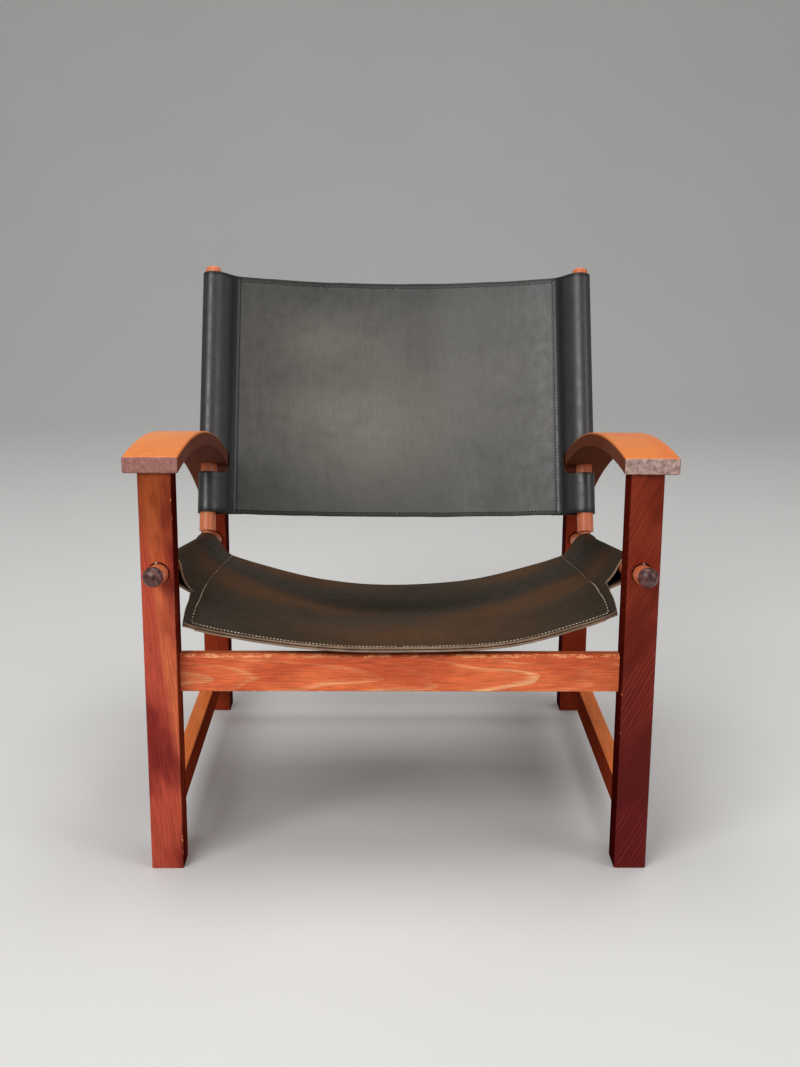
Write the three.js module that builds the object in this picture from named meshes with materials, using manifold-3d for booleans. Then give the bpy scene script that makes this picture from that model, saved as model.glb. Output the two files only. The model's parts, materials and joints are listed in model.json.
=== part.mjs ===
// Leather sling lounge chair: a wooden frame with two round seat rails, two round back posts,
// and two leather slings sewn into sleeves that slide over them.
// Millimetres. +X is to the right as seen from the front, +Y is from front to back, +Z is up.
// Everything is laid out from a working origin: the middle of the chair, at the front faces of
// the front legs, on the floor. The last lines move the finished chair to its own box's centre.

import * as THREE from 'three';
import { mergeVertices } from 'three/addons/utils/BufferGeometryUtils.js';
import Module from 'manifold-3d';

const wasm = await Module();
wasm.setup();

const DEG = Math.PI / 180;

// Fits
const GAP = 0.3; // between pieces that touch
const CUT_OVERRUN = 10; // how far a cutting solid runs past what it cuts
const RAIL_PLAY = 1; // how much wider than the rail its holes in the legs are, in radius

// Legs
const LEG_SIDE = 41.5;
const LEG_SPAN = 640; // across the outer faces of a pair
const LEG_PITCH = 570; // front face of the front legs to front face of the rear legs
const LEG_EDGE = 2.5; // rounding of the long edges

// Arms: boards bowed in side view
const ARM_WIDTH = 68;
const ARM_THICK = 21;
const ARM_TOP_RADIUS = 1200;
const ARM_OVER_RAIL = 153; // highest point of the bow above the rail's axis in front
const ARM_PEAK_BACK = 68; // highest point of the bow, behind the front faces of the legs
const ARM_FRONT_REACH = 6; // past the front legs
const ARM_REAR_REACH = 78; // past the rear legs
const ARM_OUT_REACH = 17; // past the outer faces of the legs
const ARM_EDGE = 3;

// Round rails that carry the seat
const RAIL_DIAMETER = 25;
const RAIL_INSET = 1.25; // axis, inside the legs' centre lines
const RAIL_HEIGHT = 391.5; // axis, at the middle of the front legs
const RAIL_SLOPE = 9.7 * DEG; // down towards the back
const RAIL_FRONT_REACH = { left: 50, right: 45 }; // tip of the dome past the front legs
const RAIL_REAR_REACH = 24; // guessed
const RAIL_DOME = 10; // height of the domed ends

// Round posts that carry the back
const POST_DIAMETER = 25;
const POST_LEAN = 23 * DEG;
const POST_FOOT_BACK = 473.5; // where its axis meets the rail's, behind the front legs' faces
const POST_LENGTH = 456; // from the rail's axis to the top of the dome
const POST_SHOULDER = 21; // bare shoulder above the rail's axis
const POST_DOME = 6;
const POST_TENON_DIAMETER = 14;
const POST_TENON_DEPTH = 6; // below the rail's axis

// Boards between the legs
const STRETCHER_HEIGHT = 50;
const STRETCHER_THICK = 20;
const STRETCHER_DROP = 107.5; // top edge under the seat rail's axis
const STRETCHER_TOP_EDGE = 6;
const STRETCHER_LOW_EDGE = 2.5;
const SIDE_HEIGHT = 40;
const SIDE_THICK = 21.5;
const SIDE_CLEAR = 50; // underside above the floor
const SIDE_EDGE = 2;
const TENON_DEPTH = 24;
const TENON_THICK = 12;
const TENON_SHOULDER = 6; // above and below the tenon

// Dowels between the legs and the arms
const DOWEL_DIAMETER = 12;
const DOWEL_LEG_SHARE = 0.34; // of the wood between the arm and the rail's hole
const DOWEL_IN_ARM = 13;
const DOWEL_HOLE_SPARE = 2; // depth left empty past each end

// Leather
const LEATHER = 3;
const LAP = 9; // the lower layer runs on past the seam

// Seat sling, in lengths along the rail from the middle of the front legs
const SEAT_FRONT = 9;
const SEAT_SLEEVE_FRONT = 70;
const SEAT_REAR = 455;
const SEAT_DEPTH = 95; // of the front hem's middle under the rails' axes
const SEAT_SEAM_INSET = 40; // from the rails' axes in to the seam
const SEAT_SEAM_DROP = 60; // of the front hem's corners under the rails' axes
const SEAT_BOW = { front: 2.5, rear: 2 }; // power of the curve across the seat
const SEAT_LIP = 3; // the rear end of the sleeve stands off the rail
const PANEL_CLEAR = 9; // between the front panel's sides and the legs

// Back sling, in lengths along the post from the rail's axis
const BACK_LOW = 50;
const BACK_HIGH = 443.5;
const BACK_DEPTH = 43; // of the top hem's middle behind the posts' axes
const BACK_SEAM_INSET = 43;
const BACK_SEAM_DROP = 12;
const BACK_BOW = 2.1;
const BACK_CUT_LOW = 14; // clearance of the cut-out under the arm
const BACK_CUT_HIGH = 9; // and above it
const BACK_CUT_IN = 6.5; // and inside it
const BACK_CUT_ROUND = 12;

// Places along each sling as shares of its length, and what there holds of the sizes above.
// A loose sleeve leaves the rod at its top, and a taut one in a straight line.
const SEAT_PLACE_SHARES = [0, 0.055, 0.11, 0.17, 0.26, 0.38, 0.52, 0.66, 0.83, 0.95, 1];
const SEAT_DEPTH_SHARES = [1, 0.98, 0.963, 0.937, 0.921, 0.916, 0.9, 0.858, 0.779, 0.695, 0.666];
const SEAT_SEAM_SHARES = [1, 0.71, 0.583, 0.49, 0.433, 0.392, 0.35, 0.317, 0.292, 0.283, 0.283];
const SEAT_LOOSE_SHARES = [0, 0, 0, 0, 0, 0, 0.1, 0.2, 0.4, 0.7, 0.9];
const SEAT_LIP_SHARES = [0, 0, 0, 0, 0, 0, 0, 0, 0, 0.2, 1];
const BACK_PLACE_SHARES = [0, 0.2, 0.4, 0.6, 0.8, 1];
const BACK_DEPTH_SHARES = [0.72, 0.8, 0.87, 0.93, 0.97, 1];
const BACK_SEAM_SHARES = [0.75, 0.8, 0.85, 0.9, 0.95, 1];
const HANDLE_SHARE = 0.36; // how stiffly a loose sleeve bends, as a share of its span

// Steps of the round shapes
const ROUND_STEPS = 32;
const DOME_STEPS = 5;
const EDGE_STEPS = 3;
const ARC_STEPS = 28;
const LOOP_STEPS = 9;
const LAYER_STEPS = 6;
const PAN_STEPS = 16;

const SIDES = [
  { name: 'left', sign: -1 },
  { name: 'right', sign: 1 },
];

// Places worked out from the sizes
const LEG_X = (LEG_SPAN - LEG_SIDE) / 2;
const ROD_X = LEG_X - RAIL_INSET;
const FRONT_LEG_Y = LEG_SIDE / 2;
const REAR_LEG_Y = LEG_PITCH + LEG_SIDE / 2;
const ARM_X = LEG_SPAN / 2 + ARM_OUT_REACH - ARM_WIDTH / 2;
const ARM_PEAK_HEIGHT = RAIL_HEIGHT + ARM_OVER_RAIL;
const ARM_CENTRE_Z = ARM_PEAK_HEIGHT - ARM_TOP_RADIUS;
const ARM_LOW_RADIUS = ARM_TOP_RADIUS - ARM_THICK;
const ARM_REAR_Y = LEG_PITCH + LEG_SIDE + ARM_REAR_REACH;
const RAIL_RADIUS = RAIL_DIAMETER / 2;
const POST_RADIUS = POST_DIAMETER / 2;
const POST_FOOT_Z = railHeightAt(POST_FOOT_BACK);

const WOOD = { color: 0x9c4a24, roughness: 0.42, metalness: 0 };
const DARK_WOOD = { color: 0x7f3a22, roughness: 0.45, metalness: 0 };
const ROD_WOOD = { color: 0xb06840, roughness: 0.4, metalness: 0 };
const BARE_WOOD = { color: 0xc9a06c, roughness: 0.7, metalness: 0 };
const SEAT_LEATHER = { color: 0x4c4538, roughness: 0.5, metalness: 0 };
const BACK_LEATHER = { color: 0x4a4c48, roughness: 0.5, metalness: 0 };

function railHeightAt(y) {
  return RAIL_HEIGHT - (y - FRONT_LEG_Y) * Math.tan(RAIL_SLOPE);
}

function armHeightAt(y, radius) {
  return ARM_CENTRE_Z + Math.sqrt(radius ** 2 - (y - ARM_PEAK_BACK) ** 2);
}

function makeMesh(name, geometry, finish) {
  const mesh = new THREE.Mesh(geometry, new THREE.MeshStandardMaterial(finish));
  mesh.name = name;
  return mesh;
}

// Booleans

function toSolid(geometry) {
  const bare = geometry.clone();
  bare.deleteAttribute('normal');
  bare.deleteAttribute('uv');
  const merged = mergeVertices(bare, 1e-4);
  return new wasm.Manifold(new wasm.Mesh({
    numProp: 3,
    vertProperties: new Float32Array(merged.attributes.position.array),
    triVerts: new Uint32Array(merged.index.array),
  }));
}

function toGeometry(solid) {
  const { vertProperties, triVerts } = solid.getMesh();
  const geometry = new THREE.BufferGeometry();
  geometry.setAttribute('position', new THREE.BufferAttribute(new Float32Array(vertProperties), 3));
  geometry.setIndex(new THREE.BufferAttribute(new Uint32Array(triVerts), 1));
  geometry.computeVertexNormals();
  return geometry;
}

function cutAway(geometry, cutters) {
  let solid = toSolid(geometry);
  for (const cutter of cutters) solid = solid.subtract(toSolid(cutter));
  return toGeometry(solid);
}

// Plain shapes

function boxBetween(low, high) {
  const size = high.map((value, axis) => value - low[axis]);
  const geometry = new THREE.BoxGeometry(...size);
  return geometry.translate(...low.map((value, axis) => value + size[axis] / 2));
}

function roundedRect(halfWidth, halfHeight, lowEdge, highEdge) {
  const shape = new THREE.Shape();
  shape.moveTo(-halfWidth + lowEdge, -halfHeight);
  shape.lineTo(halfWidth - lowEdge, -halfHeight);
  shape.absarc(halfWidth - lowEdge, -halfHeight + lowEdge, lowEdge, -Math.PI / 2, 0);
  shape.lineTo(halfWidth, halfHeight - highEdge);
  shape.absarc(halfWidth - highEdge, halfHeight - highEdge, highEdge, 0, Math.PI / 2);
  shape.lineTo(-halfWidth + highEdge, halfHeight);
  shape.absarc(-halfWidth + highEdge, halfHeight - highEdge, highEdge, Math.PI / 2, Math.PI);
  shape.lineTo(-halfWidth, -halfHeight + lowEdge);
  shape.absarc(-halfWidth + lowEdge, -halfHeight + lowEdge, lowEdge, Math.PI, Math.PI * 1.5);
  return shape;
}

function extrude(shape, depth) {
  return new THREE.ExtrudeGeometry(shape, { depth, bevelEnabled: false, curveSegments: EDGE_STEPS });
}

// A cylinder from one point to another
function rodBetween(from, to, radius) {
  const start = new THREE.Vector3(...from);
  const end = new THREE.Vector3(...to);
  const geometry = new THREE.CylinderGeometry(radius, radius, start.distanceTo(end), ROUND_STEPS);
  const turn = new THREE.Quaternion();
  turn.setFromUnitVectors(new THREE.Vector3(0, 1, 0), end.clone().sub(start).normalize());
  geometry.applyQuaternion(turn);
  const middle = start.add(end).multiplyScalar(1 / 2);
  return geometry.translate(middle.x, middle.y, middle.z);
}

// The points of a dome's quarter outline, from its rim to its tip
function domeOutline(radius, height, base, sign) {
  const points = [];
  for (let step = 0; step <= DOME_STEPS; step++) {
    const angle = (step / DOME_STEPS) * Math.PI / 2;
    points.push(new THREE.Vector2(radius * Math.cos(angle), base + sign * height * Math.sin(angle)));
  }
  points[DOME_STEPS].x = 0;
  return points;
}

// Directions along the sloping rods. Each turn takes +Y to the rod's own direction.

const RAIL_ALONG = new THREE.Vector3(0, Math.cos(RAIL_SLOPE), -Math.sin(RAIL_SLOPE));
const POST_ALONG = new THREE.Vector3(0, Math.sin(POST_LEAN), Math.cos(POST_LEAN));

function turnTo(direction) {
  return new THREE.Quaternion().setFromUnitVectors(new THREE.Vector3(0, 1, 0), direction);
}

function railPoint(sign, along) {
  return [sign * ROD_X, FRONT_LEG_Y + along * RAIL_ALONG.y, RAIL_HEIGHT + along * RAIL_ALONG.z];
}

function postPoint(sign, along) {
  return [sign * ROD_X, POST_FOOT_BACK + along * POST_ALONG.y, POST_FOOT_Z + along * POST_ALONG.z];
}

// How far along the rail, from the middle of the front legs, a depth behind their faces lies
function alongRailAt(y) {
  return (y - FRONT_LEG_Y) / RAIL_ALONG.y;
}

// Joinery shared by the legs and what enters them

function tenonSection(height, grow) {
  const halfHeight = height / 2 - TENON_SHOULDER + grow;
  return { halfHeight, halfThick: TENON_THICK / 2 + grow };
}

const STRETCHER_PLACES = {
  front: {
    y: LEG_SIDE - STRETCHER_THICK / 2,
    z: RAIL_HEIGHT - STRETCHER_DROP - STRETCHER_HEIGHT / 2,
  },
  rear: {
    y: LEG_PITCH + STRETCHER_THICK / 2,
    z: railHeightAt(REAR_LEG_Y) - STRETCHER_DROP - STRETCHER_HEIGHT / 2,
  },
};
const SIDE_Z = SIDE_CLEAR + SIDE_HEIGHT / 2;

function crossMortise(sign, place) {
  const { halfHeight, halfThick } = tenonSection(STRETCHER_HEIGHT, GAP);
  const face = LEG_SPAN / 2 - LEG_SIDE - CUT_OVERRUN;
  const bottom = LEG_SPAN / 2 - LEG_SIDE + TENON_DEPTH + GAP;
  const [lowX, highX] = sign > 0 ? [face, bottom] : [-bottom, -face];
  return boxBetween(
    [lowX, place.y - halfThick, place.z - halfHeight],
    [highX, place.y + halfThick, place.z + halfHeight],
  );
}

function sideMortise(sign, isFront) {
  const { halfHeight, halfThick } = tenonSection(SIDE_HEIGHT, GAP);
  const lowY = isFront ? LEG_SIDE - TENON_DEPTH - GAP : LEG_PITCH - CUT_OVERRUN;
  const highY = isFront ? LEG_SIDE + CUT_OVERRUN : LEG_PITCH + TENON_DEPTH + GAP;
  return boxBetween(
    [sign * LEG_X - halfThick, lowY, SIDE_Z - halfHeight],
    [sign * LEG_X + halfThick, highY, SIDE_Z + halfHeight],
  );
}

// The hole is wider than the rail, and the rail lies on its lower side
function railHole(sign, y) {
  const lift = RAIL_PLAY - GAP;
  const along = alongRailAt(y);
  const reach = LEG_SIDE / 2 / RAIL_ALONG.y + CUT_OVERRUN;
  const ends = [along - reach, along + reach].map((place) => {
    const point = railPoint(sign, place);
    point[2] += lift;
    return point;
  });
  return rodBetween(...ends, RAIL_RADIUS + RAIL_PLAY);
}

// The two ends of the dowel at a leg, in height
function dowelEnds(y) {
  const underArm = armHeightAt(y, ARM_LOW_RADIUS);
  const holeTop = railHeightAt(y) + RAIL_RADIUS + 2 * RAIL_PLAY;
  return [underArm - DOWEL_LEG_SHARE * (underArm - holeTop), underArm + DOWEL_IN_ARM];
}

function dowelHole(sign, y) {
  const [low, high] = dowelEnds(y);
  return rodBetween(
    [sign * LEG_X, y, low - DOWEL_HOLE_SPARE],
    [sign * LEG_X, y, high + DOWEL_HOLE_SPARE],
    DOWEL_DIAMETER / 2 + GAP,
  );
}

// Side view of an arm, with its thickness grown on the underside for the legs' clearance

function armOutline(grow, extraReach) {
  const frontY = -ARM_FRONT_REACH - extraReach;
  const rearY = ARM_REAR_Y + extraReach;
  const angleAt = (y, radius) => Math.acos((y - ARM_PEAK_BACK) / radius);
  const low = ARM_LOW_RADIUS - grow;
  const high = ARM_TOP_RADIUS + grow;
  const points = [];
  for (let step = 0; step <= ARC_STEPS; step++) {
    const angle = THREE.MathUtils.lerp(angleAt(frontY, low), angleAt(rearY, low), step / ARC_STEPS);
    points.push(arcPoint(low, angle));
  }
  for (let step = 0; step <= ARC_STEPS; step++) {
    const angle = THREE.MathUtils.lerp(angleAt(rearY, high), angleAt(frontY, high), step / ARC_STEPS);
    points.push(arcPoint(high, angle));
  }
  return new THREE.Shape(points);
}

function arcPoint(radius, angle) {
  const back = ARM_PEAK_BACK + radius * Math.cos(angle);
  return new THREE.Vector2(back, ARM_CENTRE_Z + radius * Math.sin(angle));
}

// Takes a shape drawn in side view, extruded along Z, to stand across X
function standAcross(geometry) {
  const basis = new THREE.Matrix4().makeBasis(
    new THREE.Vector3(0, 1, 0),
    new THREE.Vector3(0, 0, 1),
    new THREE.Vector3(1, 0, 0),
  );
  return geometry.applyMatrix4(basis);
}

function armUndersideCutter(sign) {
  const cutter = standAcross(extrude(armOutline(GAP, CUT_OVERRUN), ARM_WIDTH + CUT_OVERRUN));
  return cutter.translate(sign * ARM_X - (ARM_WIDTH + CUT_OVERRUN) / 2, 0, 0);
}

// Pieces

function makeLeg(side, isFront) {
  const centreY = isFront ? FRONT_LEG_Y : REAR_LEG_Y;
  const half = LEG_SIDE / 2;
  const height = armHeightAt(centreY, ARM_TOP_RADIUS) - ARM_EDGE;
  const post = extrude(roundedRect(half, half, LEG_EDGE, LEG_EDGE), height);
  post.translate(side.sign * LEG_X, centreY, 0);
  const place = isFront ? STRETCHER_PLACES.front : STRETCHER_PLACES.rear;
  const geometry = cutAway(post, [
    armTopTrimmer(side.sign, centreY),
    armUndersideCutter(side.sign),
    railHole(side.sign, centreY),
    dowelHole(side.sign, centreY),
    crossMortise(side.sign, place),
    sideMortise(side.sign, isFront),
  ]);
  const name = `${isFront ? 'front' : 'rear'}_leg_${side.name}`;
  return makeMesh(name, geometry, side.sign < 0 ? WOOD : DARK_WOOD);
}

// Everything above the arm's underside, at one leg
function armTopTrimmer(sign, centreY) {
  const reach = LEG_SIDE / 2 + CUT_OVERRUN;
  const middle = (y) => armHeightAt(y, ARM_TOP_RADIUS - ARM_THICK / 2);
  const shape = new THREE.Shape([
    new THREE.Vector2(centreY - reach, middle(centreY - reach)),
    new THREE.Vector2(centreY + reach, middle(centreY + reach)),
    new THREE.Vector2(centreY + reach, ARM_PEAK_HEIGHT + ARM_THICK),
    new THREE.Vector2(centreY - reach, ARM_PEAK_HEIGHT + ARM_THICK),
  ]);
  const cutter = standAcross(extrude(shape, LEG_SIDE + CUT_OVERRUN));
  return cutter.translate(sign * LEG_X - (LEG_SIDE + CUT_OVERRUN) / 2, 0, 0);
}

function makeArm(side) {
  const board = standAcross(new THREE.ExtrudeGeometry(armOutline(-ARM_EDGE, -ARM_EDGE), {
    depth: ARM_WIDTH - 2 * ARM_EDGE,
    bevelThickness: ARM_EDGE,
    bevelSize: ARM_EDGE,
    bevelSegments: 2,
  }));
  board.translate(side.sign * ARM_X - ARM_WIDTH / 2 + ARM_EDGE, 0, 0);
  const postHole = rodBetween(
    postPoint(side.sign, POST_SHOULDER),
    postPoint(side.sign, POST_LENGTH),
    POST_RADIUS + GAP,
  );
  const geometry = cutAway(board, [
    postHole,
    dowelHole(side.sign, FRONT_LEG_Y),
    dowelHole(side.sign, REAR_LEG_Y),
  ]);
  return makeMesh(`arm_${side.name}`, geometry, WOOD);
}

function makeDowel(side, isFront) {
  const y = isFront ? FRONT_LEG_Y : REAR_LEG_Y;
  const [low, high] = dowelEnds(y);
  const radius = DOWEL_DIAMETER / 2;
  const geometry = new THREE.CylinderGeometry(radius, radius, high - low, ROUND_STEPS);
  geometry.rotateX(Math.PI / 2);
  const mesh = makeMesh(`${isFront ? 'front' : 'rear'}_arm_dowel_${side.name}`, geometry, BARE_WOOD);
  mesh.position.set(side.sign * LEG_X, y, (low + high) / 2);
  return mesh;
}

function makeRail(side) {
  const front = -(FRONT_LEG_Y + RAIL_FRONT_REACH[side.name]) / RAIL_ALONG.y;
  const rear = alongRailAt(LEG_PITCH + LEG_SIDE + RAIL_REAR_REACH);
  const outline = [
    ...domeOutline(RAIL_RADIUS, RAIL_DOME, front + RAIL_DOME, -1).reverse(),
    ...domeOutline(RAIL_RADIUS, RAIL_DOME, rear - RAIL_DOME, 1),
  ];
  const rod = new THREE.LatheGeometry(outline, ROUND_STEPS);
  rod.applyQuaternion(turnTo(RAIL_ALONG));
  rod.translate(...railPoint(side.sign, 0));
  const socket = rodBetween(
    postPoint(side.sign, -POST_TENON_DEPTH - GAP),
    postPoint(side.sign, RAIL_DIAMETER),
    POST_TENON_DIAMETER / 2 + GAP,
  );
  return makeMesh(`seat_rail_${side.name}`, cutAway(rod, [socket]), ROD_WOOD);
}

function makePost(side) {
  const tenon = POST_TENON_DIAMETER / 2;
  const outline = [
    new THREE.Vector2(0, -POST_TENON_DEPTH),
    new THREE.Vector2(tenon, -POST_TENON_DEPTH),
    new THREE.Vector2(tenon, POST_SHOULDER),
    new THREE.Vector2(POST_RADIUS, POST_SHOULDER),
    ...domeOutline(POST_RADIUS, POST_DOME, POST_LENGTH - POST_DOME, 1),
  ];
  const mesh = makeMesh(`back_post_${side.name}`, new THREE.LatheGeometry(outline, ROUND_STEPS), ROD_WOOD);
  mesh.quaternion.copy(turnTo(POST_ALONG));
  mesh.position.set(...postPoint(side.sign, 0));
  return mesh;
}

// A board across the chair, with a tenon at each end
function makeCrossStretcher(name, place, finish) {
  const { halfHeight, halfThick } = tenonSection(STRETCHER_HEIGHT, 0);
  const halfSpan = LEG_SPAN / 2 - LEG_SIDE - GAP;
  const halves = [STRETCHER_THICK / 2, STRETCHER_HEIGHT / 2];
  const section = roundedRect(...halves, STRETCHER_LOW_EDGE, STRETCHER_TOP_EDGE);
  const board = toSolid(standAcross(extrude(section, 2 * halfSpan)).translate(-halfSpan, 0, 0));
  const halfReach = LEG_SPAN / 2 - LEG_SIDE + TENON_DEPTH;
  const tenons = toSolid(boxBetween(
    [-halfReach, -halfThick, -halfHeight],
    [halfReach, halfThick, halfHeight],
  ));
  const mesh = makeMesh(name, toGeometry(board.add(tenons)), finish);
  mesh.position.set(0, place.y, place.z);
  return mesh;
}

// A board from front leg to rear leg, with a tenon at each end
function makeSideStretcher(side) {
  const { halfHeight, halfThick } = tenonSection(SIDE_HEIGHT, 0);
  const halfSpan = (LEG_PITCH - LEG_SIDE) / 2 - GAP;
  const section = roundedRect(SIDE_THICK / 2, SIDE_HEIGHT / 2, SIDE_EDGE, SIDE_EDGE);
  const length = extrude(section, 2 * halfSpan).rotateX(Math.PI / 2).translate(0, halfSpan, 0);
  const halfReach = (LEG_PITCH - LEG_SIDE) / 2 + TENON_DEPTH;
  const tenons = toSolid(boxBetween(
    [-halfThick, -halfReach, -halfHeight],
    [halfThick, halfReach, halfHeight],
  ));
  const geometry = toGeometry(toSolid(length).add(tenons));
  const mesh = makeMesh(`side_stretcher_${side.name}`, geometry, side.sign < 0 ? WOOD : DARK_WOOD);
  mesh.position.set(side.sign * LEG_X, (LEG_PITCH + LEG_SIDE) / 2, SIDE_Z);
  return mesh;
}

// Slings. A sling's section lies across its rods: x runs across the chair and n towards the
// sitter, both from the middle between the two rods' axes. The leather hangs between two seams
// and runs on round each rod as a drop-shaped sleeve, whose lower layer laps under the seam.

// The straight line from a point to a circle's edge, and where on the circle it touches
function touch(point, centre, radius, sense) {
  const reach = Math.hypot(centre.x - point.x, centre.y - point.y);
  const towards = Math.atan2(centre.y - point.y, centre.x - point.x);
  const line = towards + sense * Math.asin(radius / reach);
  return { line, angle: line + sense * Math.PI / 2 };
}

function pointAt(centre, distance, angle) {
  return new THREE.Vector2(centre.x + distance * Math.cos(angle), centre.y + distance * Math.sin(angle));
}

// Where two lines cross, each given by a point and an angle
function crossing(a, angleA, b, angleB) {
  const ax = Math.cos(angleA);
  const ay = Math.sin(angleA);
  const bx = Math.cos(angleB);
  const by = Math.sin(angleB);
  const share = ((b.x - a.x) * by - (b.y - a.y) * bx) / (ax * by - ay * bx);
  return new THREE.Vector2(a.x + share * ax, a.y + share * ay);
}

// The points between two ends of a layer that leaves each end along its own line
function layerBetween(from, lineFrom, to, lineTo) {
  const handle = HANDLE_SHARE * from.distanceTo(to);
  const curve = new THREE.CubicBezierCurve(
    from,
    pointAt(from, handle, lineFrom),
    pointAt(to, -handle, lineTo),
    to,
  );
  return curve.getPoints(LAYER_STEPS).slice(1, LAYER_STEPS);
}

// Both loops of the left sleeve, from the seam along the upper layer and round the rod
function sleeveLoops(section, seamX, seamLine) {
  const centre = new THREE.Vector2(-ROD_X, 0);
  const seam = new THREE.Vector2(-seamX, -section.seamDrop);
  const outer = section.inner + LEATHER;
  const upper = touch(seam, centre, outer, -1);
  const lower = touch(new THREE.Vector2(seam.x, seam.y - 2 * LEATHER), centre, outer, 1);
  const leave = THREE.MathUtils.lerp(upper.angle, Math.PI / 2, section.loose);
  const atSeam = THREE.MathUtils.lerp(upper.line, seamLine, section.loose);
  const atRod = leave + Math.PI / 2;
  const sweep = THREE.MathUtils.euclideanModulo(lower.angle - leave, 2 * Math.PI);
  const outsideFlats = 1 / Math.cos(sweep / LOOP_STEPS / 2);
  const outerArc = [];
  const innerArc = [];
  for (let step = 0; step <= LOOP_STEPS; step++) {
    const angle = leave + (step / LOOP_STEPS) * sweep;
    outerArc.push(pointAt(centre, outer, angle));
    innerArc.push(pointAt(centre, section.inner * outsideFlats, angle));
  }
  const underSeam = pointAt(seam, LEATHER, atSeam + Math.PI / 2);
  const apex = crossing(underSeam, atSeam, innerArc[LOOP_STEPS], lower.line);
  return {
    outerLoop: [...layerBetween(seam, atSeam, outerArc[0], atRod), ...outerArc],
    innerLoop: [apex, ...layerBetween(apex, atSeam, innerArc[0], atRod), ...innerArc],
  };
}

function mirror(points) {
  return points.map((point) => new THREE.Vector2(-point.x, point.y)).reverse();
}

// The height of the leather's upper side across the sling
function panAt(section, seamX, x) {
  return -section.depth + (section.depth - section.seamDrop) * Math.abs(x / seamX) ** section.bow;
}

function panPoints(section, seamX, reach, drop) {
  const points = [];
  for (let step = 0; step <= PAN_STEPS; step++) {
    const x = THREE.MathUtils.lerp(-reach, reach, step / PAN_STEPS);
    points.push(new THREE.Vector2(x, panAt(section, seamX, x) - drop));
  }
  return points;
}

// The closed loops of one section: the outline, then the hole of each sleeve
function slingSection(section, seamInset) {
  const seamX = ROD_X - seamInset;
  const lapX = seamX - LAP;
  const slope = (section.depth - section.seamDrop) * section.bow / seamX;
  const { outerLoop, innerLoop } = sleeveLoops(section, seamX, Math.PI - Math.atan(slope));
  const flap = [
    new THREE.Vector2(-lapX, panAt(section, seamX, lapX) - 2 * LEATHER),
    new THREE.Vector2(-seamX, -section.seamDrop - 2 * LEATHER),
  ];
  const outline = [
    ...panPoints(section, seamX, seamX, 0),
    ...mirror(outerLoop).reverse(),
    ...mirror(flap),
    ...panPoints(section, seamX, lapX, LEATHER).reverse(),
    ...flap,
    ...[...outerLoop].reverse(),
  ];
  return [outline, innerLoop, mirror(innerLoop)];
}

// The front panel has no sleeves: both its layers run on flat past the seams
function panelSection(section, seamInset, reach) {
  const seamX = ROD_X - seamInset;
  const lapX = seamX - LAP;
  const edge = panAt(section, seamX, reach);
  const flap = [
    new THREE.Vector2(-lapX, panAt(section, seamX, lapX) - 2 * LEATHER),
    new THREE.Vector2(-seamX, -section.seamDrop - 2 * LEATHER),
    new THREE.Vector2(-reach, edge - 2 * LEATHER),
    new THREE.Vector2(-reach, edge),
  ];
  return [[
    ...panPoints(section, seamX, seamX, 0),
    ...mirror(flap),
    ...panPoints(section, seamX, lapX, LEATHER).reverse(),
    ...flap,
  ]];
}

// A closed body through a row of sections, each at its own length along the rods
function loft(sections, stations) {
  const positions = [];
  const faces = [];
  const counts = sections[0].map((loop) => loop.length);
  const perSection = counts.reduce((sum, count) => sum + count, 0);
  sections.forEach((loops, index) => {
    loops.flat().forEach((point) => positions.push(point.x, stations[index], point.y));
  });
  for (let index = 0; index + 1 < sections.length; index++) {
    let start = 0;
    counts.forEach((count) => {
      for (let step = 0; step < count; step++) {
        const a = index * perSection + start + step;
        const b = index * perSection + start + (step + 1) % count;
        faces.push(a, b, a + perSection, b, b + perSection, a + perSection);
      }
      start += count;
    });
  }
  const last = sections.length - 1;
  addCap(faces, sections[0], 0, false);
  addCap(faces, sections[last], last * perSection, true);
  const geometry = new THREE.BufferGeometry();
  geometry.setAttribute('position', new THREE.BufferAttribute(new Float32Array(positions), 3));
  geometry.setIndex(faces);
  return toSolid(geometry);
}

function addCap(faces, loops, offset, flip) {
  const [outline, ...holes] = loops;
  THREE.ShapeUtils.triangulateShape(outline, holes).forEach(([a, b, c]) => {
    const turned = flip ? [a, c, b] : [a, b, c];
    faces.push(...turned.map((corner) => corner + offset));
  });
}

// The value between the entries of a table, whose places run from 0 to 1
function valueAt(places, values, place) {
  const index = Math.max(1, places.findIndex((entry) => entry >= place));
  const share = (place - places[index - 1]) / (places[index] - places[index - 1]);
  return THREE.MathUtils.lerp(values[index - 1], values[index], share);
}

function placeSling(mesh, along, origin) {
  const across = new THREE.Vector3(1, 0, 0);
  const basis = new THREE.Matrix4().makeBasis(across, along, across.clone().cross(along));
  mesh.quaternion.setFromRotationMatrix(basis);
  mesh.position.set(0, origin[1], origin[2]);
  return mesh;
}

function seatSectionAt(along) {
  const place = (along - SEAT_FRONT) / (SEAT_REAR - SEAT_FRONT);
  const at = (values) => valueAt(SEAT_PLACE_SHARES, values, place);
  return {
    inner: RAIL_RADIUS + GAP + SEAT_LIP * at(SEAT_LIP_SHARES),
    depth: SEAT_DEPTH * at(SEAT_DEPTH_SHARES),
    seamDrop: SEAT_SEAM_DROP * at(SEAT_SEAM_SHARES),
    bow: THREE.MathUtils.lerp(SEAT_BOW.front, SEAT_BOW.rear, place),
    loose: at(SEAT_LOOSE_SHARES),
  };
}

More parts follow.
